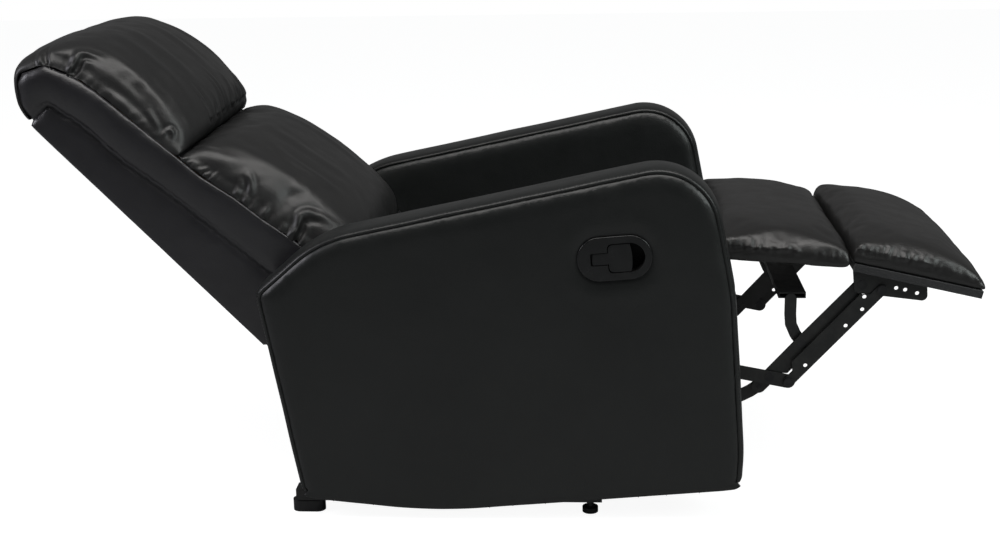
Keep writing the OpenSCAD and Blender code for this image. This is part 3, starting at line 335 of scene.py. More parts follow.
@dataclass(frozen=True)
class Timber:
    """Sawn softwood, with rings stretched along the chair's length."""

    name: str = "sawn_pine"
    early: tuple[float, float, float] = (0.5, 0.33, 0.17)
    late: tuple[float, float, float] = (0.3, 0.17, 0.075)

    def material(self) -> bpy.types.Material:
        """Builds the material."""
        nodes = Nodes(self.name)
        board = nodes.turned(0.35, (3, 38, 38))
        rings = nodes.noise(1.6, 4, 0.55, board)
        fibre = nodes.noise(1, 3, 0.6, nodes.turned(0.35, (30, 900, 900)))
        mixed = nodes.add("ShaderNodeMath", {0: rings, 1: nodes.span(fibre, 0, 0.25)}, operation="ADD")
        share = nodes.span(mixed.outputs[0], 0, 1, 0.4, 0.85)
        return nodes.finish(
            Base_Color=nodes.blended(share, self.early, self.late), Roughness=nodes.span(fibre, 0.55, 0.8),
            Normal=nodes.bump(fibre, 0.0003),
        )


@dataclass(frozen=True)
class DustCloth:
    """Black spun-bonded cloth, point-bonded in rows."""

    name: str = "dust_cloth"
    colour: tuple[float, float, float] = (0.02, 0.02, 0.022)
    bonded: tuple[float, float, float] = (0.038, 0.038, 0.04)

    def material(self) -> bpy.types.Material:
        """Builds the material."""
        nodes = Nodes(self.name)
        dots = nodes.cells(420, feature="F1")
        fibres = nodes.noise(1800, 3, 0.7)
        share = nodes.span(dots, 1, 0, 0.15, 0.45)
        relief = nodes.bump(dots, 0.0003)
        relief = nodes.bump(fibres, 0.0002, relief)
        return nodes.finish(
            Base_Color=nodes.blended(share, self.colour, self.bonded),
            Roughness=nodes.span(fibres, 0.75, 0.95), Normal=relief, Sheen_Weight=0.2, Sheen_Roughness=0.6,
        )


@dataclass(frozen=True)
class Thread:
    """Twisted polyester sewing thread."""

    name: str = "sewing_thread"
    colour: tuple[float, float, float] = (0.006, 0.006, 0.0065)
    light: tuple[float, float, float] = (0.014, 0.014, 0.015)

    def material(self) -> bpy.types.Material:
        """Builds the material."""
        nodes = Nodes(self.name)
        twist = nodes.noise(1400, 2)
        return nodes.finish(
            Base_Color=nodes.blended(twist, self.colour, self.light), Roughness=nodes.span(twist, 0.35, 0.6),
            Normal=nodes.bump(twist, 0.0002),
        )


class Finishes:
    """Every finish of the chair, built once."""

    def __init__(self) -> None:
        """Builds the materials by the names that the pieces use."""
        makers = {
            "arm": Leather(
                "arm_leather", (0.0108, 0.012, 0.0118), (0.014, 0.0154, 0.015), (0.32, 0.4), mirror=0.56),
            # The back leather's slight purple tint is painted sheen: it stands in for the purple-blue sheen
            # on the back's covers, as the left lamp's tint does.
            "back": Leather(
                "back_leather", (0.0125, 0.012, 0.0145), (0.0165, 0.016, 0.0195), (0.31, 0.4), ripple=0.0016,
                mirror=0.95),
            "pillow": Leather(
                "pillow_leather", (0.0125, 0.0127, 0.013), (0.0175, 0.0173, 0.0173), (0.37, 0.46),
                ripple=0.0012, streaks=0.0002, lie=math.radians(RECLINE), mirror=0.66),
            "pad": Leather(
                "pad_leather", (0.011, 0.0105, 0.0104), (0.015, 0.0144, 0.0142), (0.34, 0.42), ripple=0.0008,
                streaks=0.00015, lie=math.radians(8), mirror=0.7),
            "painted_steel": Paint("satin_black_paint", (0.016, 0.0165, 0.0165), (0.032, 0.032, 0.031)),
            "pin_steel": Paint(
                "black_oxide", (0.03, 0.03, 0.032), (0.06, 0.06, 0.062), 0.6, (0.3, 0.42), 0.00005),
            "spring_steel": Paint(
                "drawn_wire", (0.3, 0.3, 0.31), (0.18, 0.18, 0.19), 1.0, (0.26, 0.4), 0.00004),
            "black_plastic": Moulding(
                "matte_moulding", (0.015, 0.015, 0.016), (0.026, 0.026, 0.027), (0.42, 0.6), 0.00012),
            "gloss_plastic": Moulding(
                "gloss_moulding", (0.009, 0.0095, 0.0098), (0.015, 0.0155, 0.016), (0.2, 0.3), 0.00002),
            # Near-black copy of the moulding for the inside of the handle's cup: painted shade, standing in
            # for the dark of the recess.
            "well": Moulding(
                "painted_shade_moulding", (0.001, 0.001, 0.001), (0.0016, 0.0016, 0.0016), (0.7, 0.85), 0.0001),
            "timber": Timber(),
            "dust_cloth": DustCloth(),
            "thread": Thread(),
        }
        makers["leather"] = makers["back"]
        self.by_name = {name: maker.material() for name, maker in makers.items()}

    def wear(self, obj: bpy.types.Object, name: str) -> bpy.types.Object:
        """Gives an object one finish, in every slot of its own.

        Args:
            obj: The object.
            name: The finish's name.

        Returns:
            The same object.
        """
        obj.data.materials.clear()
        obj.data.materials.append(self.by_name[name])
        return obj


def upholster(
        obj: bpy.types.Object, finishes: Finishes, finish: str, node: str, fill: float, body: str) -> None:
    """Args:
        obj: The piece.
        finishes: The chair's finishes.
        finish: Its finish.
        node: The frame's node that it replaces.
        fill: How full it is; not used.
        body: The body that it rides on.
    """
    finishes.wear(obj, finish)
    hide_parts(node)
    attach(obj, body)


@dataclass(frozen=True)
class Lie:
    """The frame of a piece that lies along a slope in the XZ plane.

    Attributes:
        x: Where it starts, in millimetres from the arms' front edge.
        z: Height of its start in millimetres.
        angle: Angle of its length above +X in degrees.
        turn: Angle from its length to its outward side in degrees.
    """

    x: float
    z: float
    angle: float
    turn: float = 90.0

    def axes(self) -> np.ndarray:
        """Returns the rows along, across and out as unit vectors of the frame."""
        a, b = math.radians(self.angle), math.radians(self.angle + self.turn)
        return np.array([[math.cos(a), 0, math.sin(a)], [0, 1, 0], [math.cos(b), 0, math.sin(b)]])

    def start(self) -> np.ndarray:
        """Returns the start in metres."""
        return np.array([self.x * MM + FRONT_X, 0, self.z * MM])

    def placed(self, places: Places) -> np.ndarray:
        """Turns [along, across, out] in millimetres into places of the frame in metres."""
        return np.atleast_2d(np.asarray(places, float)) * MM @ self.axes() + self.start()

    def read(self, points: np.ndarray) -> np.ndarray:
        """Turns places of the frame in metres into [along, across, out] in millimetres."""
        return (points - self.start()) @ self.axes().T / MM


BACK = Lie(-660, 330, 90 + RECLINE, -90)
SEAT = Lie(-535, 351.9, 0)
UPPER_PAD = Lie(-30, 434, -4.5)
LOWER_PAD = Lie(188, 428, -12.7)


def resampled(path: np.ndarray, step: float) -> np.ndarray:
    """Returns points at an even step along a smooth curve through a path's points.

    Args:
        path: Points of any dimension.
        step: Distance between the new points, in the path's unit.
    """
    path = np.asarray(path, float)
    fine, parts = [], 12
    for i in range(len(path) - 1):
        a, b, c, d = (path[min(max(k, 0), len(path) - 1)] for k in (i - 1, i, i + 1, i + 2))
        for t in np.linspace(0, 1, parts, endpoint=False):
            square, cube = (2 * a - 5 * b + 4 * c - d) * t**2, (3 * b - a - 3 * c + d) * t**3
            fine.append(0.5 * (2 * b + (c - a) * t + square + cube))
    fine = np.array(fine + [path[-1]])
    run = np.concatenate([[0], np.cumsum(np.linalg.norm(np.diff(fine, axis=0), axis=1))])
    stops = np.linspace(0, run[-1], max(2, round(run[-1] / step) + 1))
    return np.column_stack([np.interp(stops, run, fine[:, k]) for k in range(fine.shape[1])])


def line_distance(points: np.ndarray, path: np.ndarray) -> tuple[np.ndarray, np.ndarray]:
    """Measures how far points lie from an open path.

    Args:
        points: The points.
        path: The path's points.

    Returns:
        The distance of each point, and the share along the path of its nearest place.
    """
    best = np.full(len(points), np.inf)
    share = np.zeros(len(points))
    steps = len(path) - 1
    for i in range(steps):
        way = path[i + 1] - path[i]
        t = np.clip((points - path[i]) @ way / max(way @ way, 1e-12), 0, 1)
        gap = np.linalg.norm(points - path[i] - t[:, None] * way, axis=1)
        near = gap < best
        best[near] = gap[near]
        share[near] = (i + t[near]) / steps
    return best, share


def mesh_object(name: str, points: Places, faces: Places) -> bpy.types.Object:
    """Makes an object at the origin, smooth all over.

    Args:
        name: Its name.
        points: Its points in metres.
        faces: Its faces, each as the numbers of its points.

    Returns:
        The object.
    """
    mesh = bpy.data.meshes.new(name)
    mesh.from_pydata([tuple(map(float, p)) for p in points], [], [tuple(map(int, f)) for f in faces])
    mesh.validate()
    obj = bpy.data.objects.new(name, mesh)
    bpy.context.scene.collection.objects.link(obj)
    mesh.shade_smooth()
    return obj


def pick(obj: bpy.types.Object) -> bpy.types.Object:
    """Makes an object the only selected and the active one."""
    if bpy.context.object and bpy.context.object.mode != "OBJECT":
        bpy.ops.object.mode_set(mode="OBJECT")
    bpy.ops.object.select_all(action="DESELECT")
    obj.select_set(True)
    bpy.context.view_layer.objects.active = obj
    return obj


def applied(obj: bpy.types.Object, kind: str, **settings) -> bpy.types.Object:
    """Adds a modifier to an object, sets it and applies it.

    Args:
        obj: The object.
        kind: The modifier's type.
        **settings: The modifier's own properties.

    Returns:
        The same object.
    """
    pick(obj)
    modifier = obj.modifiers.new(kind.lower(), kind)
    for key, value in settings.items():
        setattr(modifier, key, value)
    bpy.ops.object.modifier_apply(modifier=modifier.name)
    return obj


def tidied(obj: bpy.types.Object, merge: float = 1e-5) -> bpy.types.Object:
    """Merges doubled points of an object and turns its faces outwards.

    Args:
        obj: The object.
        merge: Distance in metres under which points are one.

    Returns:
        The same object.
    """
    pick(obj)
    bpy.ops.object.mode_set(mode="EDIT")
    bpy.ops.mesh.select_all(action="SELECT")
    bpy.ops.mesh.remove_doubles(threshold=merge)
    bpy.ops.mesh.normals_make_consistent(inside=False)
    bpy.ops.object.mode_set(mode="OBJECT")
    return obj


class Skin:
    """The points of an object's mesh, moved in bulk along their normals."""

    def __init__(self, obj: bpy.types.Object) -> None:
        """Reads the mesh.

        Args:
            obj: The object.
        """
        self.obj = obj
        count = len(obj.data.vertices)
        self.points = np.zeros(count * 3)
        obj.data.vertices.foreach_get("co", self.points)
        self.points = self.points.reshape(-1, 3)
        self.normals = np.zeros(count * 3, np.float32)
        obj.data.vertex_normals.foreach_get("vector", self.normals)
        self.normals = self.normals.reshape(-1, 3).astype(float)
        self.tree = BVHTree.FromPolygons(
            [tuple(p) for p in self.points], [tuple(p.vertices) for p in obj.data.polygons])

    def snapped(self, path: np.ndarray) -> tuple[np.ndarray, np.ndarray]:
        """Lays a path onto the surface.

        Args:
            path: The path's points in metres.

        Returns:
            The surface's places and normals nearest to them.
        """
        hits = [self.tree.find_nearest(Vector(p)) for p in path]
        return np.array([h[0] for h in hits]), np.array([h[1] for h in hits])

    def push(self, amount: np.ndarray) -> None:
        """Moves each point along its normal by an amount in metres."""
        self.points = self.points + self.normals * amount[:, None]

    def write(self) -> None:
        """Writes the points back to the mesh."""
        self.obj.data.vertices.foreach_set("co", self.points.ravel())
        self.obj.data.update()


@dataclass(frozen=True)
class Fold:
    """A soft ridge in a cover, or a crease where its height is negative.

    Attributes:
        path: Places [along, across, out] in millimetres, near the surface.
        height: Height in millimetres.
        width: Half width in millimetres.
        fade: How it dies away.
    """

    path: tuple
    height: float
    width: float
    fade: Fade = Fade.ENDS

    def press(self, skin: Skin, lie: Lie) -> None:
        """Works the fold into a skin.

        Args:
            skin: The skin.
            lie: The frame that the fold's places are written in.
        """
        line = skin.snapped(resampled(lie.placed(self.path), 6 * MM))[0]
        reach = 2.6 * self.width * MM
        low, high = line.min(0) - reach, line.max(0) + reach
        near = np.where(((skin.points > low) & (skin.points < high)).all(1))[0]
        gap, share = line_distance(skin.points[near], line)
        if self.fade is Fade.ENDS:
            along = np.sin(np.pi * np.clip(share, 0.02, 0.98)) ** 0.7
        else:
            along = (1 - share) ** 0.8
        bell = np.exp(-((gap / (self.width * MM)) ** 2))
        flank = np.exp(-(((gap - 1.9 * self.width * MM) / (0.8 * self.width * MM)) ** 2))
        amount = np.zeros(len(skin.points))
        amount[near] = self.height * MM * along * (bell - 0.3 * flank)
        skin.push(amount)


@dataclass(frozen=True)
class Gathers:
    """Small folds that run into a cover from a seam where it is eased.

    Attributes:
        seam: Places [along, across, out] of the seam, in millimetres.
        into: Direction of the folds, as [along, across, out].
        count: Number of folds.
        length: Longest length in millimetres.
        height: Greatest height in millimetres.
        width: Half width in millimetres.
        seed: Seed of their scatter.
    """

    seam: tuple
    into: tuple
    count: int
    length: float
    height: float
    width: float
    seed: int

    def folds(self) -> list[Fold]:
        """Returns the folds, strewn evenly but not alike."""
        dice = random.Random(self.seed)
        seam = resampled(np.array(self.seam, float), 2)
        way = np.array(self.into, float) / np.linalg.norm(self.into)
        folds = []
        for k in range(self.count):
            at = seam[int((k + dice.uniform(0.15, 0.85)) / self.count * (len(seam) - 1))]
            length = self.length * dice.uniform(0.45, 1)
            lean = np.array([dice.uniform(-0.25, 0.25), dice.uniform(-0.1, 0.1), 0])
            end = at + (way + lean) * length
            middle = (at + end) / 2 + np.array([dice.uniform(-2, 2), 0, 0])
            height = self.height * dice.uniform(0.4, 1)
            width = self.width * dice.uniform(0.7, 1.2)
            folds.append(Fold((tuple(at), tuple(middle), tuple(end)), height, width, Fade.FAR_END))
        return folds


class Studio:
    """Plain white studio: soft lamps, a white floor that keeps the shadow, and the photograph's camera."""

    eye = Vector((0.152, -2.673, 1.089))
    yaw, pitch, roll = -3.65, 15.36, 1.05
    lens = 54.0

    def build(self) -> None:
        """Sets up the camera, the world, the lamps and the floor."""
        scene = bpy.context.scene
        scene.view_settings.view_transform = "Standard"
        self.add_camera(scene)
        self.add_world(scene)
        self.add_lamp("top_lamp", (0.15, -0.85, 2.8), (0.0, 0.0, 0.4), (3.2, 1.3), 44, (1.0, 0.98, 0.96))
        self.add_lamp("front_lamp", (2.7, -1.4, 1.9), (0.2, -0.2, 0.4), (1.5, 1.4), 26, (0.93, 1.0, 0.98))
        self.add_lamp("left_lamp", (-3.1, -1.0, 1.9), (-0.6, -0.2, 0.6), (1.1, 1.3), 26, (0.94, 0.93, 1.0))
        self.add_floor()

    def add_camera(self, scene: bpy.types.Scene) -> None:
        """Adds the camera, aimed as the photograph's was."""
        yaw, pitch, roll = (math.radians(a) for a in (self.yaw, self.pitch, self.roll))
        ahead = Vector((math.sin(yaw) * math.cos(pitch), math.cos(yaw) * math.cos(pitch), -math.sin(pitch)))
        level = Vector((math.cos(yaw), -math.sin(yaw), 0))
        down = ahead.cross(level)
        right = math.cos(roll) * level + math.sin(roll) * down
        up = math.sin(roll) * level - math.cos(roll) * down
        data = bpy.data.cameras.new("camera")
        data.lens, data.sensor_width, data.clip_end = self.lens, 36.0, 60
        camera = bpy.data.objects.new("camera", data)
        turn = Matrix((right, up, -ahead)).transposed()
        camera.matrix_world = Matrix.Translation(self.eye) @ turn.to_4x4()
        scene.collection.objects.link(camera)
        scene.camera = camera

    def add_world(self, scene: bpy.types.Scene) -> None:
        """Makes the world white where it is seen or reflected from behind, and dim elsewhere."""
        world = bpy.data.worlds.new("studio")
        scene.world = world
        world.use_nodes = True
        tree = world.node_tree
        tree.nodes.clear()
        add, link = tree.nodes.new, tree.links.new
        output, rays = add("ShaderNodeOutputWorld"), add("ShaderNodeLightPath")
        places, split, span = (add(f"ShaderNode{kind}") for kind in ("TexCoord", "SeparateXYZ", "MapRange"))
        link(places.outputs["Generated"], split.inputs[0])
        link(split.outputs["Y"], span.inputs["Value"])
        for name, value in (("From Min", -0.6), ("From Max", 0.75), ("To Min", 0.06), ("To Max", 0.18)):
            span.inputs[name].default_value = value
        dim, seen, mirrored = (add("ShaderNodeBackground") for _ in range(3))
        dim.inputs["Color"].default_value = (0.9, 0.97, 1.0, 1)
        dim.inputs["Strength"].default_value = 0.12
        seen.inputs["Color"].default_value = (1, 1, 1, 1)
        seen.inputs["Strength"].default_value = 1.0
        link(span.outputs[0], mirrored.inputs["Strength"])
        first, second = add("ShaderNodeMixShader"), add("ShaderNodeMixShader")
        both = add("ShaderNodeMath")
        both.operation = "MAXIMUM"
        link(rays.outputs["Is Glossy Ray"], both.inputs[0])
        link(rays.outputs["Is Transmission Ray"], both.inputs[1])
        link(both.outputs[0], first.inputs[0])
        link(dim.outputs[0], first.inputs[1])
        link(mirrored.outputs[0], first.inputs[2])
        link(rays.outputs["Is Camera Ray"], second.inputs[0])
        link(first.outputs[0], second.inputs[1])
        link(seen.outputs[0], second.inputs[2])
        link(second.outputs[0], output.inputs["Surface"])

    def add_lamp(
            self, name: str, place: tuple, target: tuple, size: tuple, power: float, colour: tuple) -> None:
        """Adds a soft rectangular lamp.

        Args:
            name: The lamp's name.
            place: Its place in metres.
            target: The place that it faces.
            size: Its width and height in metres.
            power: Its power in watts.
            colour: Its colour.
        """
        data = bpy.data.lights.new(name, "AREA")
        data.shape, data.size, data.size_y, data.energy, data.color = "RECTANGLE", *size, power, colour
        lamp = bpy.data.objects.new(name, data)
        lamp.location = place
        lamp.rotation_euler = (Vector(target) - Vector(place)).to_track_quat("-Z", "Y").to_euler()
        bpy.context.scene.collection.objects.link(lamp)

    def add_floor(self) -> None:
        """Adds the floor, white to the camera where no shadow falls."""
        bpy.ops.object.select_all(action="DESELECT")
        bpy.ops.mesh.primitive_plane_add(size=16, location=(0, 0, 0))
        floor = bpy.context.object
        floor.name = "studio_floor"
        nodes = Nodes("white_floor")
        rays = nodes.add("ShaderNodeLightPath")
        speck = nodes.span(nodes.noise(3, 2), 0.8, 0.82)
        glow = nodes.add("ShaderNodeMath", {0: rays.outputs["Is Camera Ray"], 1: 0.93}, operation="MULTIPLY")
        material = nodes.finish(
            Base_Color=nodes.blended(speck, (0.32, 0.32, 0.32), (0.38, 0.38, 0.38)), Roughness=0.9,
            Emission_Color=(1, 1, 1, 1), Emission_Strength=glow.outputs[0], Specular_IOR_Level=0.1)
        floor.data.materials.append(material)


@dataclass
class Outline:
    """The arm's outline: corners rounded between straight stretches.

    Attributes:
        length: The arm's length in millimetres.
        height: The arm's height in millimetres.
        corners: Corner places and radii as shares of the length and the height.
        rear_low: The corner at the rear's foot.
        rear_high: The corner above it.
        front_high: The corner in the front edge.
        front_foot: The corner at the front's foot.
    """

    length: float = 807.0
    height: float = 628.0
    corners: tuple = (
        (-0.923, 0.065, 0.035), (-1, 0.638, 0.045), (-0.866, 0.787, 0.349), (-0.0755, 1, 0.171),
        (-0.0175, 0.636, 0.66), (0.0067, 0.191, 0.637), (0.004, 0.097, 0.031), (-0.638, 0.0275, 1.433),
    )
    rear_low: int = 0
    rear_high: int = 1
    front_high: int = 4
    front_foot: int = 6

    def corner(self, k: int) -> tuple[np.ndarray, float, float, float]:
        """Measures one corner.

        Args:
            k: The corner's number.

        Returns:
            Its centre and radius in millimetres, and its first direction and its turn in radians.
        """
        table = [np.array([c[0] * self.length, c[1] * self.height]) for c in self.corners]
        around = len(self.corners)
        radius = self.corners[k % around][2] * self.height
        before, at, after = (table[(k + d) % around] for d in (-1, 0, 1))
        u, v = ((p - at) / np.linalg.norm(p - at) for p in (before, after))
        half = math.acos(u @ v) / 2
        centre = at + (u + v) / np.linalg.norm(u + v) * radius / math.sin(half)
        ends = [at + w * radius / math.tan(half) - centre for w in (u, v)]
        first, last = (math.atan2(e[1], e[0]) for e in ends)
        turn = (last - first + math.pi) % (2 * math.pi) - math.pi
        return centre, radius, first, turn

    def middle(self, k: int) -> float:
        """Returns the share of a corner's turn at which the frame's model splits the outline."""
        steps = max(2, math.ceil(abs(math.degrees(self.corner(k)[3])) / 12))
        return (steps // 2) / steps

    def stretch(self, start: int, end: int, step: float) -> tuple[np.ndarray, np.ndarray]:
        """Samples the outline from the middle of one corner to the middle of a later one.

        Args:
            start: First corner.
            end: Last corner, past the table's end for a second turn.
            step: Largest distance between samples in millimetres.

        Returns:
            Places in millimetres and outward directions, both [x, z].
        """
        places, outward = [], []
        for k in range(start, end + 1):
            centre, radius, first, turn = self.corner(k)
            low = self.middle(k) if k == start else 0.0
            high = self.middle(k) if k == end else 1.0
            count = max(3, math.ceil(radius * abs(turn) * (high - low) / step), math.ceil(abs(turn) * 9))
            angles = first + turn * np.linspace(low, high, count + 1)
            normals = np.column_stack([np.cos(angles), np.sin(angles)])
            points = centre + radius * normals
            if places:
                gap = np.linalg.norm(points[0] - places[-1][-1])
                between = np.linspace(0, 1, max(2, math.ceil(gap / step)) + 1)[1:-1, None]
                places.append(places[-1][-1] + (points[0] - places[-1][-1]) * between)
                outward.append(np.repeat(normals[:1], len(between), 0))
            places.append(points)
            outward.append(normals)
        return np.concatenate(places), np.concatenate(outward)


def boundary_gap(points: np.ndarray, loop: np.ndarray) -> np.ndarray:
    """Returns each point's distance to a polygon's edge."""
    return line_distance(points, np.vstack([loop, loop[:1]]))[0]


def edge_gap(points: np.ndarray, rings: list) -> np.ndarray:
    """Returns each point's distance to the nearest of several polygons' edges."""
    return np.min([boundary_gap(points, ring) for ring in rings], 0)


def offset_line(line: np.ndarray, way: np.ndarray, depth: float) -> np.ndarray:
    """Returns a flat line moved sideways.

    Args:
        line: The line's points.
        way: Direction of the line at each point.
        depth: How far it moves to its left.
    """
    return line + depth * np.column_stack([-way[:, 1], way[:, 0]])


def inside(points: np.ndarray, loop: np.ndarray) -> np.ndarray:
    """Tells for each point whether it lies inside a polygon.

    Args:
        points: The points.
        loop: The polygon's points.
    """
    found = np.zeros(len(points), bool)
    ahead = np.roll(loop, -1, 0)
    for (x0, z0), (x1, z1) in zip(loop, ahead):
        crosses = (z0 > points[:, 1]) != (z1 > points[:, 1])
        with np.errstate(divide="ignore", invalid="ignore"):
            cut = x0 + (points[:, 1] - z0) * (x1 - x0) / (z1 - z0)
        found ^= crosses & (points[:, 0] < cut)
    return found


RING_DEPTHS = (2.5, 5.5, 9.5, 15, 22)  # rows of points beside a panel's edges, in millimetres
SEAM_OFFSETS = (-10, -6, -3, 0, 3, 6, 10)  # rows of points beside a seam
SEAM_INSET = 3  # distance of a seam's points from the edges
EDGE_CLEAR, SEAM_CLEAR = 26, 14  # distance of the inner points from edges and seams
CELL = 2.2  # size of the cells that hold one point each


def panel_grid(loop: np.ndarray, holes: list, spacing: float, lines: list) -> tuple[np.ndarray, np.ndarray]:
    """Fills a flat panel with triangles that are finer by its edges.

    Args:
        loop: The panel's outline, counterclockwise.
        holes: Outlines of its openings.
        spacing: Distance between inner points in millimetres.
        lines: Seams across the panel, beside which the points are finer too.

    Returns:
        Flat points and triangles.
    """
    rings = [loop, *holes]
    edges, start = [], 0
    for ring in rings:
        edges += [(start + i, start + (i + 1) % len(ring)) for i in range(len(ring))]
        start += len(ring)
    inner = []
    for depth in RING_DEPTHS:
        for ring in rings:
            way = np.roll(ring, -1, 0) - np.roll(ring, 1, 0)
            way /= np.linalg.norm(way, axis=1)[:, None] + 1e-9
            for sign in (1, -1):
                moved = offset_line(ring, way, depth * sign)
                inner.append(moved[inside(moved, loop) & (edge_gap(moved, rings) > depth * 0.93)])
    for line in lines:
        way = np.gradient(line, axis=0)
        way /= np.linalg.norm(way, axis=1)[:, None] + 1e-9
        for depth in SEAM_OFFSETS:
            moved = offset_line(line, way, depth)
            inner.append(moved[inside(moved, loop) & (edge_gap(moved, rings) > SEAM_INSET)])
    low, high = loop.min(0), loop.max(0)
    xs, zs = np.arange(low[0], high[0], spacing), np.arange(low[1], high[1], spacing * 0.87)
    spread = np.array([(x + spacing / 2 * (j % 2), z) for j, z in enumerate(zs) for x in xs])
    keep = inside(spread, loop) & (edge_gap(spread, rings) > EDGE_CLEAR)
    for line in lines:
        keep &= line_distance(spread, line)[0] > SEAM_CLEAR
    for ring in holes:
        keep &= ~inside(spread, ring)
    inner.append(spread[keep])
    thinned, cells = [], set()
    for p in np.concatenate(inner):
        cell = (round(p[0] / CELL), round(p[1] / CELL))
        if not any((cell[0] + i, cell[1] + j) in cells for i in (-1, 0, 1) for j in (-1, 0, 1)):
            cells.add(cell)
            thinned.append(p)
    for ring in holes:
        thinned = [p for p in thinned if not inside(np.array([p]), ring)[0]]
    every = np.concatenate([*rings, np.array(thinned)])
    found = delaunay_2d_cdt([Vector(map(float, p)) for p in every], edges, [], 0, 1e-5)
    flat = np.array([tuple(v) for v in found[0]])
    triangles = np.array([f for f in found[2] if len(f) == 3])
    centres = flat[triangles].mean(1)
    keep = inside(centres, loop)
    for ring in holes:
        keep &= ~inside(centres, ring)
    return flat, triangles[keep]


@dataclass
class Stitching:
    """Runs of lockstitches along seams.

    Attributes:
        pitch: Distance from stitch to stitch in millimetres.
        length: Length of a stitch in millimetres.
        thickness: Thickness of the thread in millimetres.
        runs: The seams' points and directions, filled by run.
    """

    pitch: float = 6.0
    length: float = 4.0
    thickness: float = 0.9
    runs: list = field(default_factory=list)

    def run(self, path: np.ndarray, outward: np.ndarray) -> None:
        """Adds a run.

        Args:
            path: Points of the seam in metres, on the surface.
            outward: The surface's direction at each point.
        """
        self.runs.append((np.asarray(path), np.asarray(outward)))

    def build(self, name: str, body: str, finishes: Finishes) -> bpy.types.Object:
        """Makes all the runs one piece that rides on a body."""
        points, faces = [], []
        sides = 5
        profile = ((-0.5, 0.2, -0.5), (-0.42, 0.8, 0.0), (0, 1.0, 0.35), (0.42, 0.8, 0.0), (0.5, 0.2, -0.5))
        last = sides * (len(profile) - 1)
        for path, outward in self.runs:
            run = np.concatenate([[0], np.cumsum(np.linalg.norm(np.diff(path, axis=0), axis=1))])
            stops = np.arange(self.pitch * MM, run[-1] - self.pitch * MM, self.pitch * MM)
            at = np.column_stack([np.interp(stops, run, path[:, k]) for k in range(3)])
            out = np.column_stack([np.interp(stops, run, outward[:, k]) for k in range(3)])
            for i, (p, n) in enumerate(zip(at, out)):
                way = at[min(i + 1, len(at) - 1)] - at[max(i - 1, 0)]
                way /= np.linalg.norm(way)
                n = n / np.linalg.norm(n)
                side = np.cross(way, n)
                base = len(points)
                r = self.thickness / 2 * MM
                for share, wide, lift in profile:
                    centre = p + way * share * self.length * MM + n * lift * r
                    for turn in range(sides):
                        angle = 2 * math.pi * turn / sides
                        points.append(centre + r * wide * (side * math.cos(angle) + n * math.sin(angle)))
                for row in range(base, base + last, sides):
                    for k in range(sides):
                        a, b = row + k, row + (k + 1) % sides
                        faces.append((a, b, b + sides, a + sides))
                faces.append(tuple(base + k for k in reversed(range(sides))))
                faces.append(tuple(base + last + k for k in range(sides)))
        obj = tidied(mesh_object(name, points, faces), 1e-7)
        finishes.wear(obj, "thread")
        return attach(obj, body)


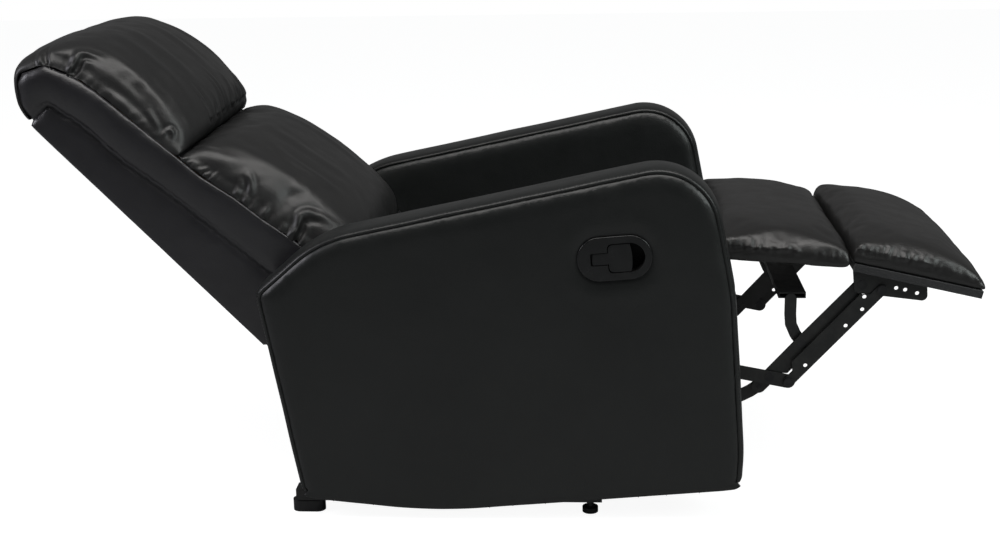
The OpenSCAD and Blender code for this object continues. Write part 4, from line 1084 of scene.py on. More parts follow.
@dataclass
class Arm:
    """One padded arm: an outer and an inner face panel, and the band between their seams.

    Attributes:
        side: The sitter's side.
        finishes: The chair's finishes.
        outline: The outline of its band.
        face: Distance of the outer face from the chair's middle in millimetres.
        width: The arm's width in millimetres.
        seam_depth: Depth of the seams inside the band's crown in millimetres.
        cover: Thickness of a face panel in millimetres.
        rim: Width in millimetres of a face panel's rounded rim.
        inner_low: Height of the inner panel's lower edge in millimetres.
        allowance: Insets and depths in millimetres of the band's turned-in edges.
        back_depth: Depth of the band's back in millimetres.
    """

    side: Side
    finishes: Finishes
    outline: Outline = field(default_factory=Outline)
    face: float = 340.0
    width: float = 90.0
    seam_depth: float = 10.0
    cover: float = 20.0
    rim: float = 30.0
    inner_low: float = 50.0
    allowance: tuple = ((8, 11.8), (12, 14.0))
    back_depth: float = 17.0

    def build(self) -> None:
        """Builds the arm's pieces."""
        self.stitches = Stitching()
        self.add_band()
        self.add_panel("outer", self.face, 1)
        self.add_panel("inner", self.face - self.width, -1)
        self.stitches.build(f"arm_stitches_{self.side.word}", "root", self.finishes)
        log.info("arm %s: band, two panels and stitches", self.side.word)

    def loop(self) -> tuple[np.ndarray, np.ndarray]:
        """Returns the panel's outline, counterclockwise, and the line of its seam, in millimetres."""
        o = self.outline
        places, outward = o.stretch(o.rear_low, o.front_foot, 6)
        seam = places - outward * self.seam_depth
        low = o.stretch(o.front_foot, o.rear_low + len(o.corners), 8)[0]
        return np.vstack([seam, low[1:-1]])[::-1], seam

    def hole(self) -> list:
        """Returns the opening for the release handle, in the right arm's outer panel."""
        return [Handle.oval(Handle.length - 9, Handle.height - 9, 5)] if self.side is Side.RIGHT else []

    def add_panel(self, kind: str, face: float, way: int) -> None:
        """Adds one face panel.

        Args:
            kind: Outer or inner.
            face: Distance of its face from the chair's middle in millimetres.
            way: 1 where it faces away from the chair's middle, or -1.
        """
        loop, seam = self.loop()
        if kind == "inner":
            loop = np.column_stack([loop[:, 0], np.maximum(loop[:, 1], self.inner_low)])
            keep = np.linalg.norm(loop - np.roll(loop, 1, 0), axis=1) > 0.5
            loop = loop[keep]
        holes = self.hole() if kind == "outer" else []
        flat, triangles = panel_grid(loop, holes, 13, [])
        lift = self.panel_lift(flat, loop, seam, holes, 7.0 * self.side.value + 3.0 * way)
        sign = self.side.value
        y = sign * (face + way * lift)
        points = np.column_stack([flat[:, 0] * MM + FRONT_X, y * MM, flat[:, 1] * MM])
        if sign * way > 0:
            triangles = triangles[:, ::-1]
        obj = mesh_object(f"arm_{kind}_panel_{self.side.word}", points, triangles)
        applied(obj, "SOLIDIFY", thickness=self.cover * MM * 0.9, offset=-1, use_even_offset=False)
        upholster(obj, self.finishes, "arm", f"arm_{kind}_cover_{self.side.word}", 0.8, "root")

    def panel_lift(
            self, flat: np.ndarray, loop: np.ndarray, seam: np.ndarray, holes: list,
            seed: float) -> np.ndarray:
        """Returns how far a face panel stands out at each point, in millimetres.

        Args:
            flat: The panel's points [x, z] in millimetres.
            loop: Its outline.
            seam: The line of its seam.
            holes: Outlines of its openings, each with a dip and a swell about it.
            seed: Place of its unevenness in the noise.
        """
        crown, round_off, pull, hem = 2.2, 6.5, 1.6, 2.5
        gap = line_distance(flat, seam)[0]
        near = np.clip(gap / self.rim, 0, 1)
        lift = (crown - round_off * (1 - near) ** 2 - pull * np.exp(-gap / 3)
                - hem * np.exp(-boundary_gap(flat, loop) / 2.5))
        for ring in holes:
            around = boundary_gap(flat, ring)
            lift -= 4.0 * np.exp(-around / 11)
            lift += 1.5 * np.exp(-(((around - 26) / 14) ** 2))
        for i, (x, z) in enumerate(flat):
            slow, quick = noise.noise((x / 150, z / 150, seed)), noise.noise((x / 42, z / 42, seed + 5))
            lift[i] += 1.1 * slow + 0.45 * quick
            lift[i] += 1.1 * math.exp(-gap[i] / 9) * noise.noise((x / 11, z / 11, seed + 9))
        return lift

    def profile(self) -> list[tuple[float, float]]:
        """Returns the band's section from seam to seam as [across, depth] in millimetres."""
        half, power, width, depth = self.width / 2, 2.6, 0.875, self.seam_depth * 0.97
        section = []
        for t in np.linspace(-1, 1, 27):
            s = math.sin(math.pi / 2 * t)
            section.append((s * half * width, depth * (1 - (1 - abs(s) ** power) ** (1 / power))))
        (inset, shallow), (tucked, deep) = self.allowance
        return [(-half + tucked, deep), (-half + inset, shallow), *section,
                (half - inset, shallow), (half - tucked, deep)]

    def add_band(self) -> None:
        """Adds the band as one crowned strip, puckered by its seams, with its sewn joins."""
        o = self.outline
        places, outward = o.stretch(o.rear_low, o.front_foot, 3.2)
        run = np.concatenate([[0], np.cumsum(np.linalg.norm(np.diff(places, axis=0), axis=1))])
        joins = []
        for corner in (o.rear_high, o.front_high):
            centre, radius, first, turn = o.corner(corner)
            at = first + turn * o.middle(corner)
            joins.append(run[np.argmin(np.linalg.norm(
                places - centre - radius * np.array([math.cos(at), math.sin(at)]), axis=1))])
        section = self.profile()
        n, mid = len(section), self.face - self.width / 2
        shallow, tucked = self.allowance[0][1], self.allowance[1][0]
        points, faces = [], []
        seed = 20.0 * self.side.value
        for i, (p, out) in enumerate(zip(places, outward)):
            dip = sum(1.5 * math.exp(-(((run[i] - j) / 2.6) ** 2)) for j in joins)
            for k, (across, depth) in enumerate(section):
                edge = math.exp(-(self.width / 2 - abs(across)) / 5)
                sink = depth + dip * (1 if depth < shallow else 0)
                sink -= 0.9 * edge * noise.noise((run[i] / 9, across / 40, seed))
                sink -= 0.9 * noise.noise((run[i] / 95, across / 45, seed + 3))
                flat = p - out * sink
                points.append((flat[0] * MM + FRONT_X, self.side.value * (mid + across) * MM, flat[1] * MM))
            for across in (self.width / 2 - tucked, -self.width / 2 + tucked):
                flat = p - out * self.back_depth
                points.append((flat[0] * MM + FRONT_X, self.side.value * (mid + across) * MM, flat[1] * MM))
        ring = n + 2
        for i in range(len(places) - 1):
            for k in range(ring):
                a, b = i * ring + k, i * ring + (k + 1) % ring
                faces.append((a, b, b + ring, a + ring))
        faces.append(tuple(reversed(range(ring))))
        faces.append(tuple((len(places) - 1) * ring + k for k in range(ring)))
        obj = tidied(mesh_object(f"arm_edge_band_{self.side.word}", points, faces))
        upholster(obj, self.finishes, "arm", f"arm_band_{self.side.word}", 0.7, "root")
        grid = np.array(points).reshape(len(places), ring, 3)
        lean = np.column_stack([outward[:, 0], np.zeros(len(outward)), outward[:, 1]])
        stitch_row = 5
        for k, sign in ((stitch_row, -1), (n - 1 - stitch_row, 1)):
            tilt = lean * 0.75 + np.array([0, sign * self.side.value * 0.65, 0])
            self.stitches.run(grid[:, k], tilt)


@dataclass(frozen=True)
class Press:
    """An end of a cushion that reaches for its neighbour and lies flat against it.

    Attributes:
        start: Place along the cushion from which it is drawn out, in millimetres.
        end: Place along the cushion of its end.
        shift: Way that the end is drawn out.
        plane: Place along the cushion at which it meets its neighbour.
        lean: Growth of that place for each millimetre outwards.
    """

    start: float
    end: float
    shift: float
    plane: float
    lean: float = 0.0

    def fit(self, local: np.ndarray) -> np.ndarray:
        """Returns the places [along, across, out] with the end drawn out and flattened."""
        round_off = 0.75
        share = np.clip((local[:, 0] - self.start) / (self.end - self.start), 0, 1)
        moved = local.copy()
        moved[:, 0] += self.shift * share**2 * (3 - 2 * share)
        limit = self.plane + self.lean * moved[:, 2]
        over = moved[:, 0] - limit if self.shift > 0 else limit - moved[:, 0]
        rounded = limit - np.sign(self.shift) * round_off * np.log1p(np.exp(-over / round_off))
        moved[:, 0] = np.where(over > -4 * round_off, rounded, moved[:, 0])
        return moved


@dataclass
class Cushion:
    """A stuffed piece that starts from the frame's own solid and is filled by simulation.

    Attributes:
        node: The frame's node that it replaces.
        body: The body that it rides on.
        lie: The frame that its places are written in.
        finishes: The chair's finishes.
        fill: How full it is.
        finish: Its finish.
        shrink: How far its cover starts inside the solid, in millimetres.
        cap: How far the filling may move the cover, in millimetres.
        surplus: Share by which the cover is cut larger.
        pressure: Pressure of the filling.
        tuck: Height and inset in millimetres of its rounded lower edges.
        half: Half of its greatest width in millimetres.
        voxel: Distance between the cover's points in millimetres.
        waves: Depth of its slow unevenness in millimetres.
        folds: Folds worked in after the filling.
        gathers: Gathers worked in after the filling.
        pinned: How far down a face has to look to be held.
        seam: Places [along, out] of the seam that its sides run down to, in millimetres.
        presses: Ends that press on a neighbour, each as a Press.
    """

    node: str
    body: str
    lie: Lie
    finishes: Finishes
    fill: float = 0.7
    finish: str = "pillow"
    shrink: float = 7.0
    cap: float = 22.0
    surplus: float = 0.008
    pressure: float = 3.0
    tuck: tuple[float, float] = (0.0, 0.0)
    half: float = 244.5
    voxel: float = 5.0
    waves: float = 1.2
    folds: tuple = ()
    gathers: tuple = ()
    pinned: float = 0.35
    seam: tuple = ()
    presses: tuple = ()

    def build(self) -> bpy.types.Object:
        """Builds the cushion."""
        obj = self.cover()
        self.inflate(obj)
        applied(obj, "SMOOTH", factor=0.5, iterations=14)  # leaves soft folds and no sharp ones
        self.fit_neighbours(obj)
        applied(obj, "SUBSURF", levels=1, render_levels=1)
        skin = Skin(obj)
        self.undulate(skin)
        for fold in [*self.folds, *(f for g in self.gathers for f in g.folds())]:
            fold.press(skin, self.lie)
        local = self.lie.read(skin.points)
        local[:, 1] = np.clip(local[:, 1], -self.half, self.half)
        skin.points = self.lie.placed(local)
        skin.write()
        obj.data.shade_smooth()
        upholster(obj, self.finishes, self.finish, self.node, self.fill, self.body)
        log.info("%s: %d points", obj.name, len(obj.data.vertices))
        return obj

    def cover(self) -> bpy.types.Object:
        """Copies the frame's solid and gives it an even mesh with rounded lower edges."""
        mesh = frame["nodes"][self.node].data.copy()
        obj = bpy.data.objects.new(f"{self.node}_cover", mesh)
        bpy.context.scene.collection.objects.link(obj)
        tidied(obj)
        voxel = self.voxel * 1.0 * MM
        applied(obj, "REMESH", mode="VOXEL", voxel_size=voxel, use_smooth_shade=True)
        applied(obj, "SMOOTH", factor=0.5, iterations=4)
        if self.tuck[0]:
            self.round_low_edges(obj)
        return obj

    def round_low_edges(self, obj: bpy.types.Object) -> None:
        """Draws the sides in towards the cover's lower edges."""
        skin = Skin(obj)
        local = self.lie.read(skin.points)
        height, inset = self.tuck
        sides = skin.normals @ self.lie.axes().T
        upright = np.abs(sides[:, 2]) < 0.9
        share = np.clip(1 - (local[:, 2] - local[:, 2].min()) / height, 0, 1) ** 2
        sides[:, 2] = 0
        sides /= np.linalg.norm(sides, axis=1)[:, None] + 1e-9
        local -= sides * (share * inset * upright)[:, None]
        skin.points = self.lie.placed(local)
        skin.write()

    def inflate(self, obj: bpy.types.Object) -> None:
        """Fills the cover by a cloth simulation and keeps the result within the cap."""
        frames, stand_out = 16, 3 * MM
        skin = Skin(obj)
        facing = skin.normals @ self.lie.axes()[2]
        held = facing < -self.pinned
        start = skin.points.copy()
        skin.push(-self.shrink * MM * np.clip((facing + self.pinned) / 0.6, 0, 1))
        skin.write()
        base = skin.points.copy()
        group = obj.vertex_groups.new(name="held")
        group.add([int(i) for i in np.where(held)[0]], 1.0, "REPLACE")
        modifier = obj.modifiers.new("fill", "CLOTH")
        cloth = modifier.settings
        cloth.quality = 4
        cloth.mass = 0.25
        cloth.tension_stiffness = cloth.compression_stiffness = 12
        cloth.shear_stiffness = 6
        cloth.bending_stiffness = 1.2
        cloth.use_pressure = True
        cloth.uniform_pressure_force = self.pressure
        cloth.shrink_min = -self.surplus
        cloth.effector_weights.gravity = 0
        cloth.vertex_group_mass = "held"
        modifier.collision_settings.use_collision = False
        scene = bpy.context.scene
        for step in range(1, frames + 1):
            scene.frame_set(step)
        graph = bpy.context.evaluated_depsgraph_get()
        filled = np.zeros(len(base) * 3)
        obj.evaluated_get(graph).data.vertices.foreach_get("co", filled)
        obj.modifiers.remove(modifier)
        obj.vertex_groups.clear()
        scene.frame_set(1)
        moved = filled.reshape(-1, 3) - base
        length = np.linalg.norm(moved, axis=1)
        moved *= np.minimum(1, self.cap * MM / np.maximum(length, 1e-9))[:, None]
        skin.points = base + moved
        beyond = ((skin.points - start) * skin.normals).sum(1)
        over = np.maximum(beyond - stand_out, 0)
        skin.points -= skin.normals * over[:, None] * 0.85
        skin.write()

    def fit_neighbours(self, obj: bpy.types.Object) -> None:
        """Draws the sides out to the seam and lets the ends press on their neighbours."""
        skin = Skin(obj)
        local = self.lie.read(skin.points)
        if self.seam:
            draw_reach, pull_reach, side, edge = 18, 7, 212, 225
            line = resampled(np.array(self.seam, float), 6)
            gap, place = line_distance(local[:, [0, 2]], line)
            share = np.clip(1 - gap / draw_reach, 0, 1) ** 1.2 * (np.abs(local[:, 1]) > side)
            local[:, 1] += (np.sign(local[:, 1]) * (self.half - 0.6) - local[:, 1]) * share
            stops = np.linspace(0, 1, len(line))
            pull = np.clip(1 - gap / pull_reach, 0, 1) * (np.abs(local[:, 1]) > edge)
            for axis, k in ((0, 0), (2, 1)):
                local[:, axis] += (np.interp(place, stops, line[:, k]) - local[:, axis]) * pull
        for press in self.presses:
            local = press.fit(local)
        skin.points = self.lie.placed(local)
        skin.write()

    def undulate(self, skin: Skin) -> None:
        """Gives the cover the slow unevenness of its filling."""
        local = self.lie.read(skin.points)
        seed = float(len(self.node))
        amount = []
        for u, y, n in local:
            slow = noise.noise((u / 85, y / 85, n / 60 + seed))
            quick = noise.noise((u / 30, y / 30, n / 30 + seed))
            amount.append(self.waves * (slow + 0.4 * quick))
        skin.push(np.array(amount) * MM)


@dataclass
class BackCovers:
    """The back's covers: at each side a flat part and a padded strip under the pillows, and one at the rear.

    Attributes:
        finishes: The chair's finishes.
        length: The back's length in millimetres.
        depth: The back's depth in millimetres.
        face: Distance of the side covers' faces from the middle in millimetres.
        seam: Line where the side covers meet the pillows, as shares of length and depth.
        low: The side covers' other corners, as the same shares.
        crease: Line between flat part and strip, as [along, out] in millimetres.
        puff: Places along the back and the strip's fullness at each, in millimetres.
        rear_half: Half of the rear cover's width in millimetres.
        rear_low: Share of the length at which the rear cover starts.
        closure: Distance of the rear cover's closures from the middle in millimetres.
    """

    finishes: Finishes
    length: float = 606.0
    depth: float = 145.0
    face: float = 243.0
    seam: tuple = (
        (1.007, -0.945), (1.05, -0.888), (1.1, -0.724), (1.11, -0.6), (1.08, -0.345), (1, -0.207),
        (0.939, -0.152), (0.663, -0.048), (0.576, -0.02), (0.465, 0.076), (0.373, 0.124), (0.282, 0.193),
        (0.1, 0.289))
    low: tuple = ((0.016, 0.276), (-0.016, 0), (0, -0.414), (0.119, -1), (1, -1))
    crease: tuple = (
        (613, -145), (611, -128), (609, -98), (585, -93), (544, -84), (462, -80), (419, -73), (317, -59),
        (222, -49), (153, -41), (90, -34), (0, -24))
    puff: tuple = ((150, 330, 600), (2.5, 8.0, 14.0))
    rear_half: float = 230.5
    rear_low: float = 0.2
    closure: float = 196.0

    def build(self) -> None:
        """Builds both side covers, the rear cover and their stitches."""
        self.stitches = Stitching()
        for side in Side:
            self.add_side(side)
        self.add_rear()
        self.stitches.build("back_stitches", "back", self.finishes)
        log.info("back: two side covers, rear cover and stitches")

    def add_side(self, side: Side) -> None:
        """Adds one side cover."""
        size = np.array([self.length, self.depth])
        corners = np.vstack([np.array(self.seam) * size, np.array(self.low) * size])
        loop = self.outline(corners)
        area = 0.5 * np.sum(loop[:, 0] * np.roll(loop[:, 1], -1) - np.roll(loop[:, 0], -1) * loop[:, 1])
        if area < 0:
            loop = loop[::-1]
        crease = resampled(np.array(self.crease, float), 6)
        flat, triangles = panel_grid(loop, [], 13, [crease])
        lift = self.side_lift(flat, loop, crease, np.array(self.seam) * size, 4.0 * side.value)
        local = np.column_stack([flat[:, 0], side.value * (self.face + lift), flat[:, 1]])
        triangles = triangles if side is Side.LEFT else triangles[:, ::-1]
        obj = mesh_object(f"back_side_panel_{side.word}", BACK.placed(local), triangles)
        self.face_out(obj, side)
        applied(obj, "SOLIDIFY", thickness=0.0105, offset=-1, use_even_offset=False)
        upholster(obj, self.finishes, "back", f"back_side_cover_{side.word}", 0.7, "back")
        path = resampled(np.array(self.seam[3:]) * size - np.array([0, 4.5]), 6)
        at = np.column_stack([path[:, 0], np.full(len(path), side.value * self.face), path[:, 1]])
        skin = Skin(obj)
        line, out = skin.snapped(BACK.placed(at))
        self.stitches.run(line, out)

    def side_lift(
            self, flat: np.ndarray, loop: np.ndarray, crease: np.ndarray, seam: np.ndarray,
            seed: float) -> np.ndarray:
        """Returns how far a side cover stands out at each point, in millimetres.

        Args:
            flat: The cover's points [along, out] in millimetres.
            loop: Its outline.
            crease: Line between its flat part and its strip.
            seam: Line where it meets the pillows.
            seed: Place of its unevenness in the noise.
        """
        gap, fold = boundary_gap(flat, loop), line_distance(flat, crease)[0]
        seam_gap = line_distance(flat, seam)[0]
        strip = self.above(flat, crease)
        puff = np.where(strip, np.interp(flat[:, 0], *self.puff), 0.8)
        puff *= (1 - np.exp(-fold / 14)) * (1 - np.exp(-(seam_gap + 3) / 8))
        lift = puff - 1.0 * np.exp(-gap / 2) - 3.6 * np.exp(-((fold / 5) ** 2)) - 2.4 * np.exp(-fold / 18)
        for i, (u, n) in enumerate(flat):
            slow, quick = noise.noise((u / 110, n / 60, seed)), noise.noise((u / 34, n / 34, seed + 2))
            lift[i] += 1.2 * slow + 0.5 * quick
            near = math.exp(-min(seam_gap[i], fold[i]) / 8) if strip[i] else 0
            lift[i] += 1.4 * near * noise.noise((u / 9, n / 9, seed + 4))
        return lift

    def outline(self, corners: np.ndarray, step: float = 6) -> np.ndarray:
        """Returns points along the straight edges between corners.

        Args:
            corners: The corners in millimetres.
            step: Distance between the points in millimetres.
        """
        rows = []
        for a, b in zip(corners, np.roll(corners, -1, 0)):
            count = max(1, round(np.linalg.norm(b - a) / step))
            rows.append(a + (b - a) * np.linspace(0, 1, count, endpoint=False)[:, None])
        return np.vstack(rows)

    def above(self, flat: np.ndarray, crease: np.ndarray) -> np.ndarray:
        """Tells which points lie on the pillows' side of the crease."""
        top = self.length + 5
        line = crease[crease[:, 0] < top - 1]
        order = np.argsort(line[:, 0])
        return (flat[:, 1] > np.interp(flat[:, 0], line[order, 0], line[order, 1])) | (flat[:, 0] > top)

    def face_out(self, obj: bpy.types.Object, side: Side) -> None:
        """Turns the faces of an open panel so that they face its side."""
        skin = Skin(obj)
        if (skin.normals[:, 1].mean() > 0) != (side is Side.LEFT):
            obj.data.flip_normals()

    def add_rear(self) -> None:
        """Adds the rear cover with a stiffened hem and two closures along its sides."""
        low, high, half = self.rear_low * self.length, self.length + 4.0, self.rear_half
        loop = self.outline(np.array([(low, -half), (high, -half), (high, half), (low, half)]))
        rows = np.linspace(low + 8, self.length - 8, 70)
        seams = [np.column_stack([rows, np.full(len(rows), y)]) for y in (-self.closure, self.closure)]
        flat, triangles = panel_grid(loop, [], 11.0, seams)
        gap = boundary_gap(flat, loop)
        lift = 1.5 - 3.5 * np.exp(-gap / 5)
        for line in seams:
            lift -= 1.8 * np.exp(-((line_distance(flat, line)[0] / 2.5) ** 2))
        for i, (u, y) in enumerate(flat):
            lift[i] += 1.6 * noise.noise((u / 130, y / 90, 1.5)) + 0.4 * noise.noise((u / 30, y / 30, 6.5))
        local = np.column_stack([flat[:, 0], flat[:, 1], -self.depth - lift])
        obj = mesh_object("back_rear_panel", BACK.placed(local), triangles)
        skin = Skin(obj)
        if (skin.normals @ BACK.axes()[2]).mean() > 0:
            obj.data.flip_normals()
        applied(obj, "SOLIDIFY", thickness=0.006, offset=-1, use_even_offset=False)
        upholster(obj, self.finishes, "back", "back_rear_cover", 0.3, "back")
        skin = Skin(obj)
        rows = np.linspace(low + 12, self.length - 12, 60)
        beside = self.closure - 5
        for y in (-beside, beside):
            at = np.column_stack([rows, np.full(len(rows), y), np.full(len(rows), -self.depth - 3)])
            self.stitches.run(*skin.snapped(BACK.placed(at)))


@dataclass
class Cloth:
    """A thin cloth across the chair, from its section.

    Attributes:
        finishes: The chair's finishes.
        section: Places along the section in millimetres.
        half: Half of its width in millimetres.
        columns: Number of points across.
    """

    finishes: Finishes
    section: tuple
    half: float
    columns: int = 80

    def line(self) -> np.ndarray:
        """Returns the section as points at an even step, in millimetres."""
        return resampled(np.array(self.section, float), 6)

    def across(self) -> np.ndarray:
        """Returns the places across in millimetres."""
        return np.linspace(-self.half, self.half, self.columns)

    def flat(self) -> tuple[float, float]:
        """Returns the width and length that the cloth is cut to, in metres."""
        length = np.linalg.norm(np.diff(self.line(), axis=0), axis=1).sum()
        return 2 * self.half * MM, length * MM

    def woven(self, name: str, places: Places) -> bpy.types.Object:
        """Makes the cloth.

        Args:
            name: The piece's name.
            places: Places in metres, row by row across the chair.

        Returns:
            The cloth.
        """
        n, thickness = self.columns, 0.0015
        faces = [(i * n + j, i * n + j + 1, (i + 1) * n + j + 1, (i + 1) * n + j)
                 for i in range(len(places) // n - 1) for j in range(n - 1)]
        obj = mesh_object(name, places, faces)
        applied(obj, "SOLIDIFY", thickness=thickness, offset=0, use_even_offset=False)
        self.finishes.wear(obj, "back")
        return obj


@dataclass
class Flap(Cloth):
    """The cover's cloth that hangs between the seat's rear and the back's lower end."""

    section: tuple = (
        (-537, 400), (-541, 376), (-556, 362), (-580, 359), (-604, 370), (-622, 388), (-634, 406))
    half: float = 238.0

    def build(self) -> None:
        """Builds the flap."""
        rows = []
        for x, z in self.line():
            for y in self.across():
                sag = 3.0 * noise.noise((y / 40, x / 30, 2.0)) + 1.2 * noise.noise((y / 12, x / 18, 8.0))
                rows.append(((x + 0.3 * sag) * MM + FRONT_X, y * MM, (z + sag) * MM))
        obj = self.woven("seat_back_flap", rows)
        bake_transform(obj)
        self.flat()
        log.info("flap between seat and back")


@dataclass
class GapStrip(Cloth):
    """The cover's cloth under the gap between the headrest and the lumbar pillow."""

    section: tuple = ((352, -4.6), (376, -6.4), (402, -8.8), (430, -11.0), (456, -13.2))
    half: float = 231.0

    def build(self) -> None:
        """Builds the strip."""
        rows = [(u, y, n + 0.8 * noise.noise((y / 30, u / 25, 5.0)))
                for u, n in self.line() for y in self.across()]
        obj = self.woven("pillow_gap_strip", BACK.placed(rows))
        self.flat()
        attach(obj, "back")
        log.info("strip under the pillows' gap")


@dataclass
class LiftSprings:
    """The two tension springs of the footrest: close coils between two hooks.

    Attributes:
        finishes: The chair's finishes.
        anchor: Place of the rear eye, in millimetres from the arms' front edge and the floor.
        pin: Place of the front eye, written the same way.
        across: Distance from the chair's middle in millimetres.
        wire: Thickness of the wire in millimetres.
        coil: Outer diameter of the coils in millimetres.
        hook: Length of a hook in millimetres.
        eye: Radius of a hook's eye in millimetres.
        steps: Number of points in a turn.
    """

    finishes: Finishes
    anchor: tuple[float, float] = (-330, 336)
    pin: tuple[float, float] = (-197.8, 316.9)
    across: float = 236.0
    wire: float = 2.2
    coil: float = 14.0
    hook: float = 17.0
    eye: float = 5.2
    steps: int = 14

    def build(self) -> None:
        """Builds both springs."""
        for side in Side:
            self.add_spring(side)
        log.info("lift springs")

    def add_spring(self, side: Side) -> None:
        """Adds one spring as a wire along its coils and hooks."""
        a, b = np.array(self.anchor, float), np.array(self.pin, float)
        length = np.linalg.norm(b - a)
        way = (b - a) / length
        up = np.array([-way[1], way[0]])
        r, eye, n = (self.coil - self.wire) / 2, self.eye, self.steps
        body = length - 2 * self.hook
        turns = int(body / (self.wire * 1.35))
        rear, front = np.linspace(-0.3, -5.0, n), np.linspace(math.pi - 1.8, math.pi - 6.0, n)
        route = [(eye * math.cos(t), 0, eye * math.sin(t)) for t in rear]
        route += [(self.hook * 0.7, 0, 1.5)]
        for k in range(turns * n + 1):
            t = 2 * math.pi * k / n
            route.append((self.hook + body * k / (turns * n), r * math.sin(t), r * math.cos(t)))
        route += [(length - self.hook * 0.7, 0, 1.5)]
        route += [(length + eye * math.cos(t), 0, eye * math.sin(t)) for t in front]
        curve = bpy.data.curves.new(f"lift_spring_{side.word}", "CURVE")
        curve.dimensions, curve.bevel_depth, curve.bevel_resolution = "3D", self.wire / 2 * MM, 1
        curve.use_fill_caps = True
        spline = curve.splines.new("POLY")
        spline.points.add(len(route) - 1)
        for point, (s, y, z) in zip(spline.points, route):
            p = a + way * s + up * z
            point.co = (p[0] * MM + FRONT_X, side.value * (self.across + y) * MM, p[1] * MM, 1)
        obj = bpy.data.objects.new(curve.name, curve)
        bpy.context.scene.collection.objects.link(obj)
        pick(obj)
        bpy.ops.object.convert(target="MESH")
        obj = tidied(bpy.context.object)
        obj.data.shade_smooth()
        self.finishes.wear(obj, "spring_steel")
        if side is Side.RIGHT:
            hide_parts("lift_springs")
        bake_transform(obj)


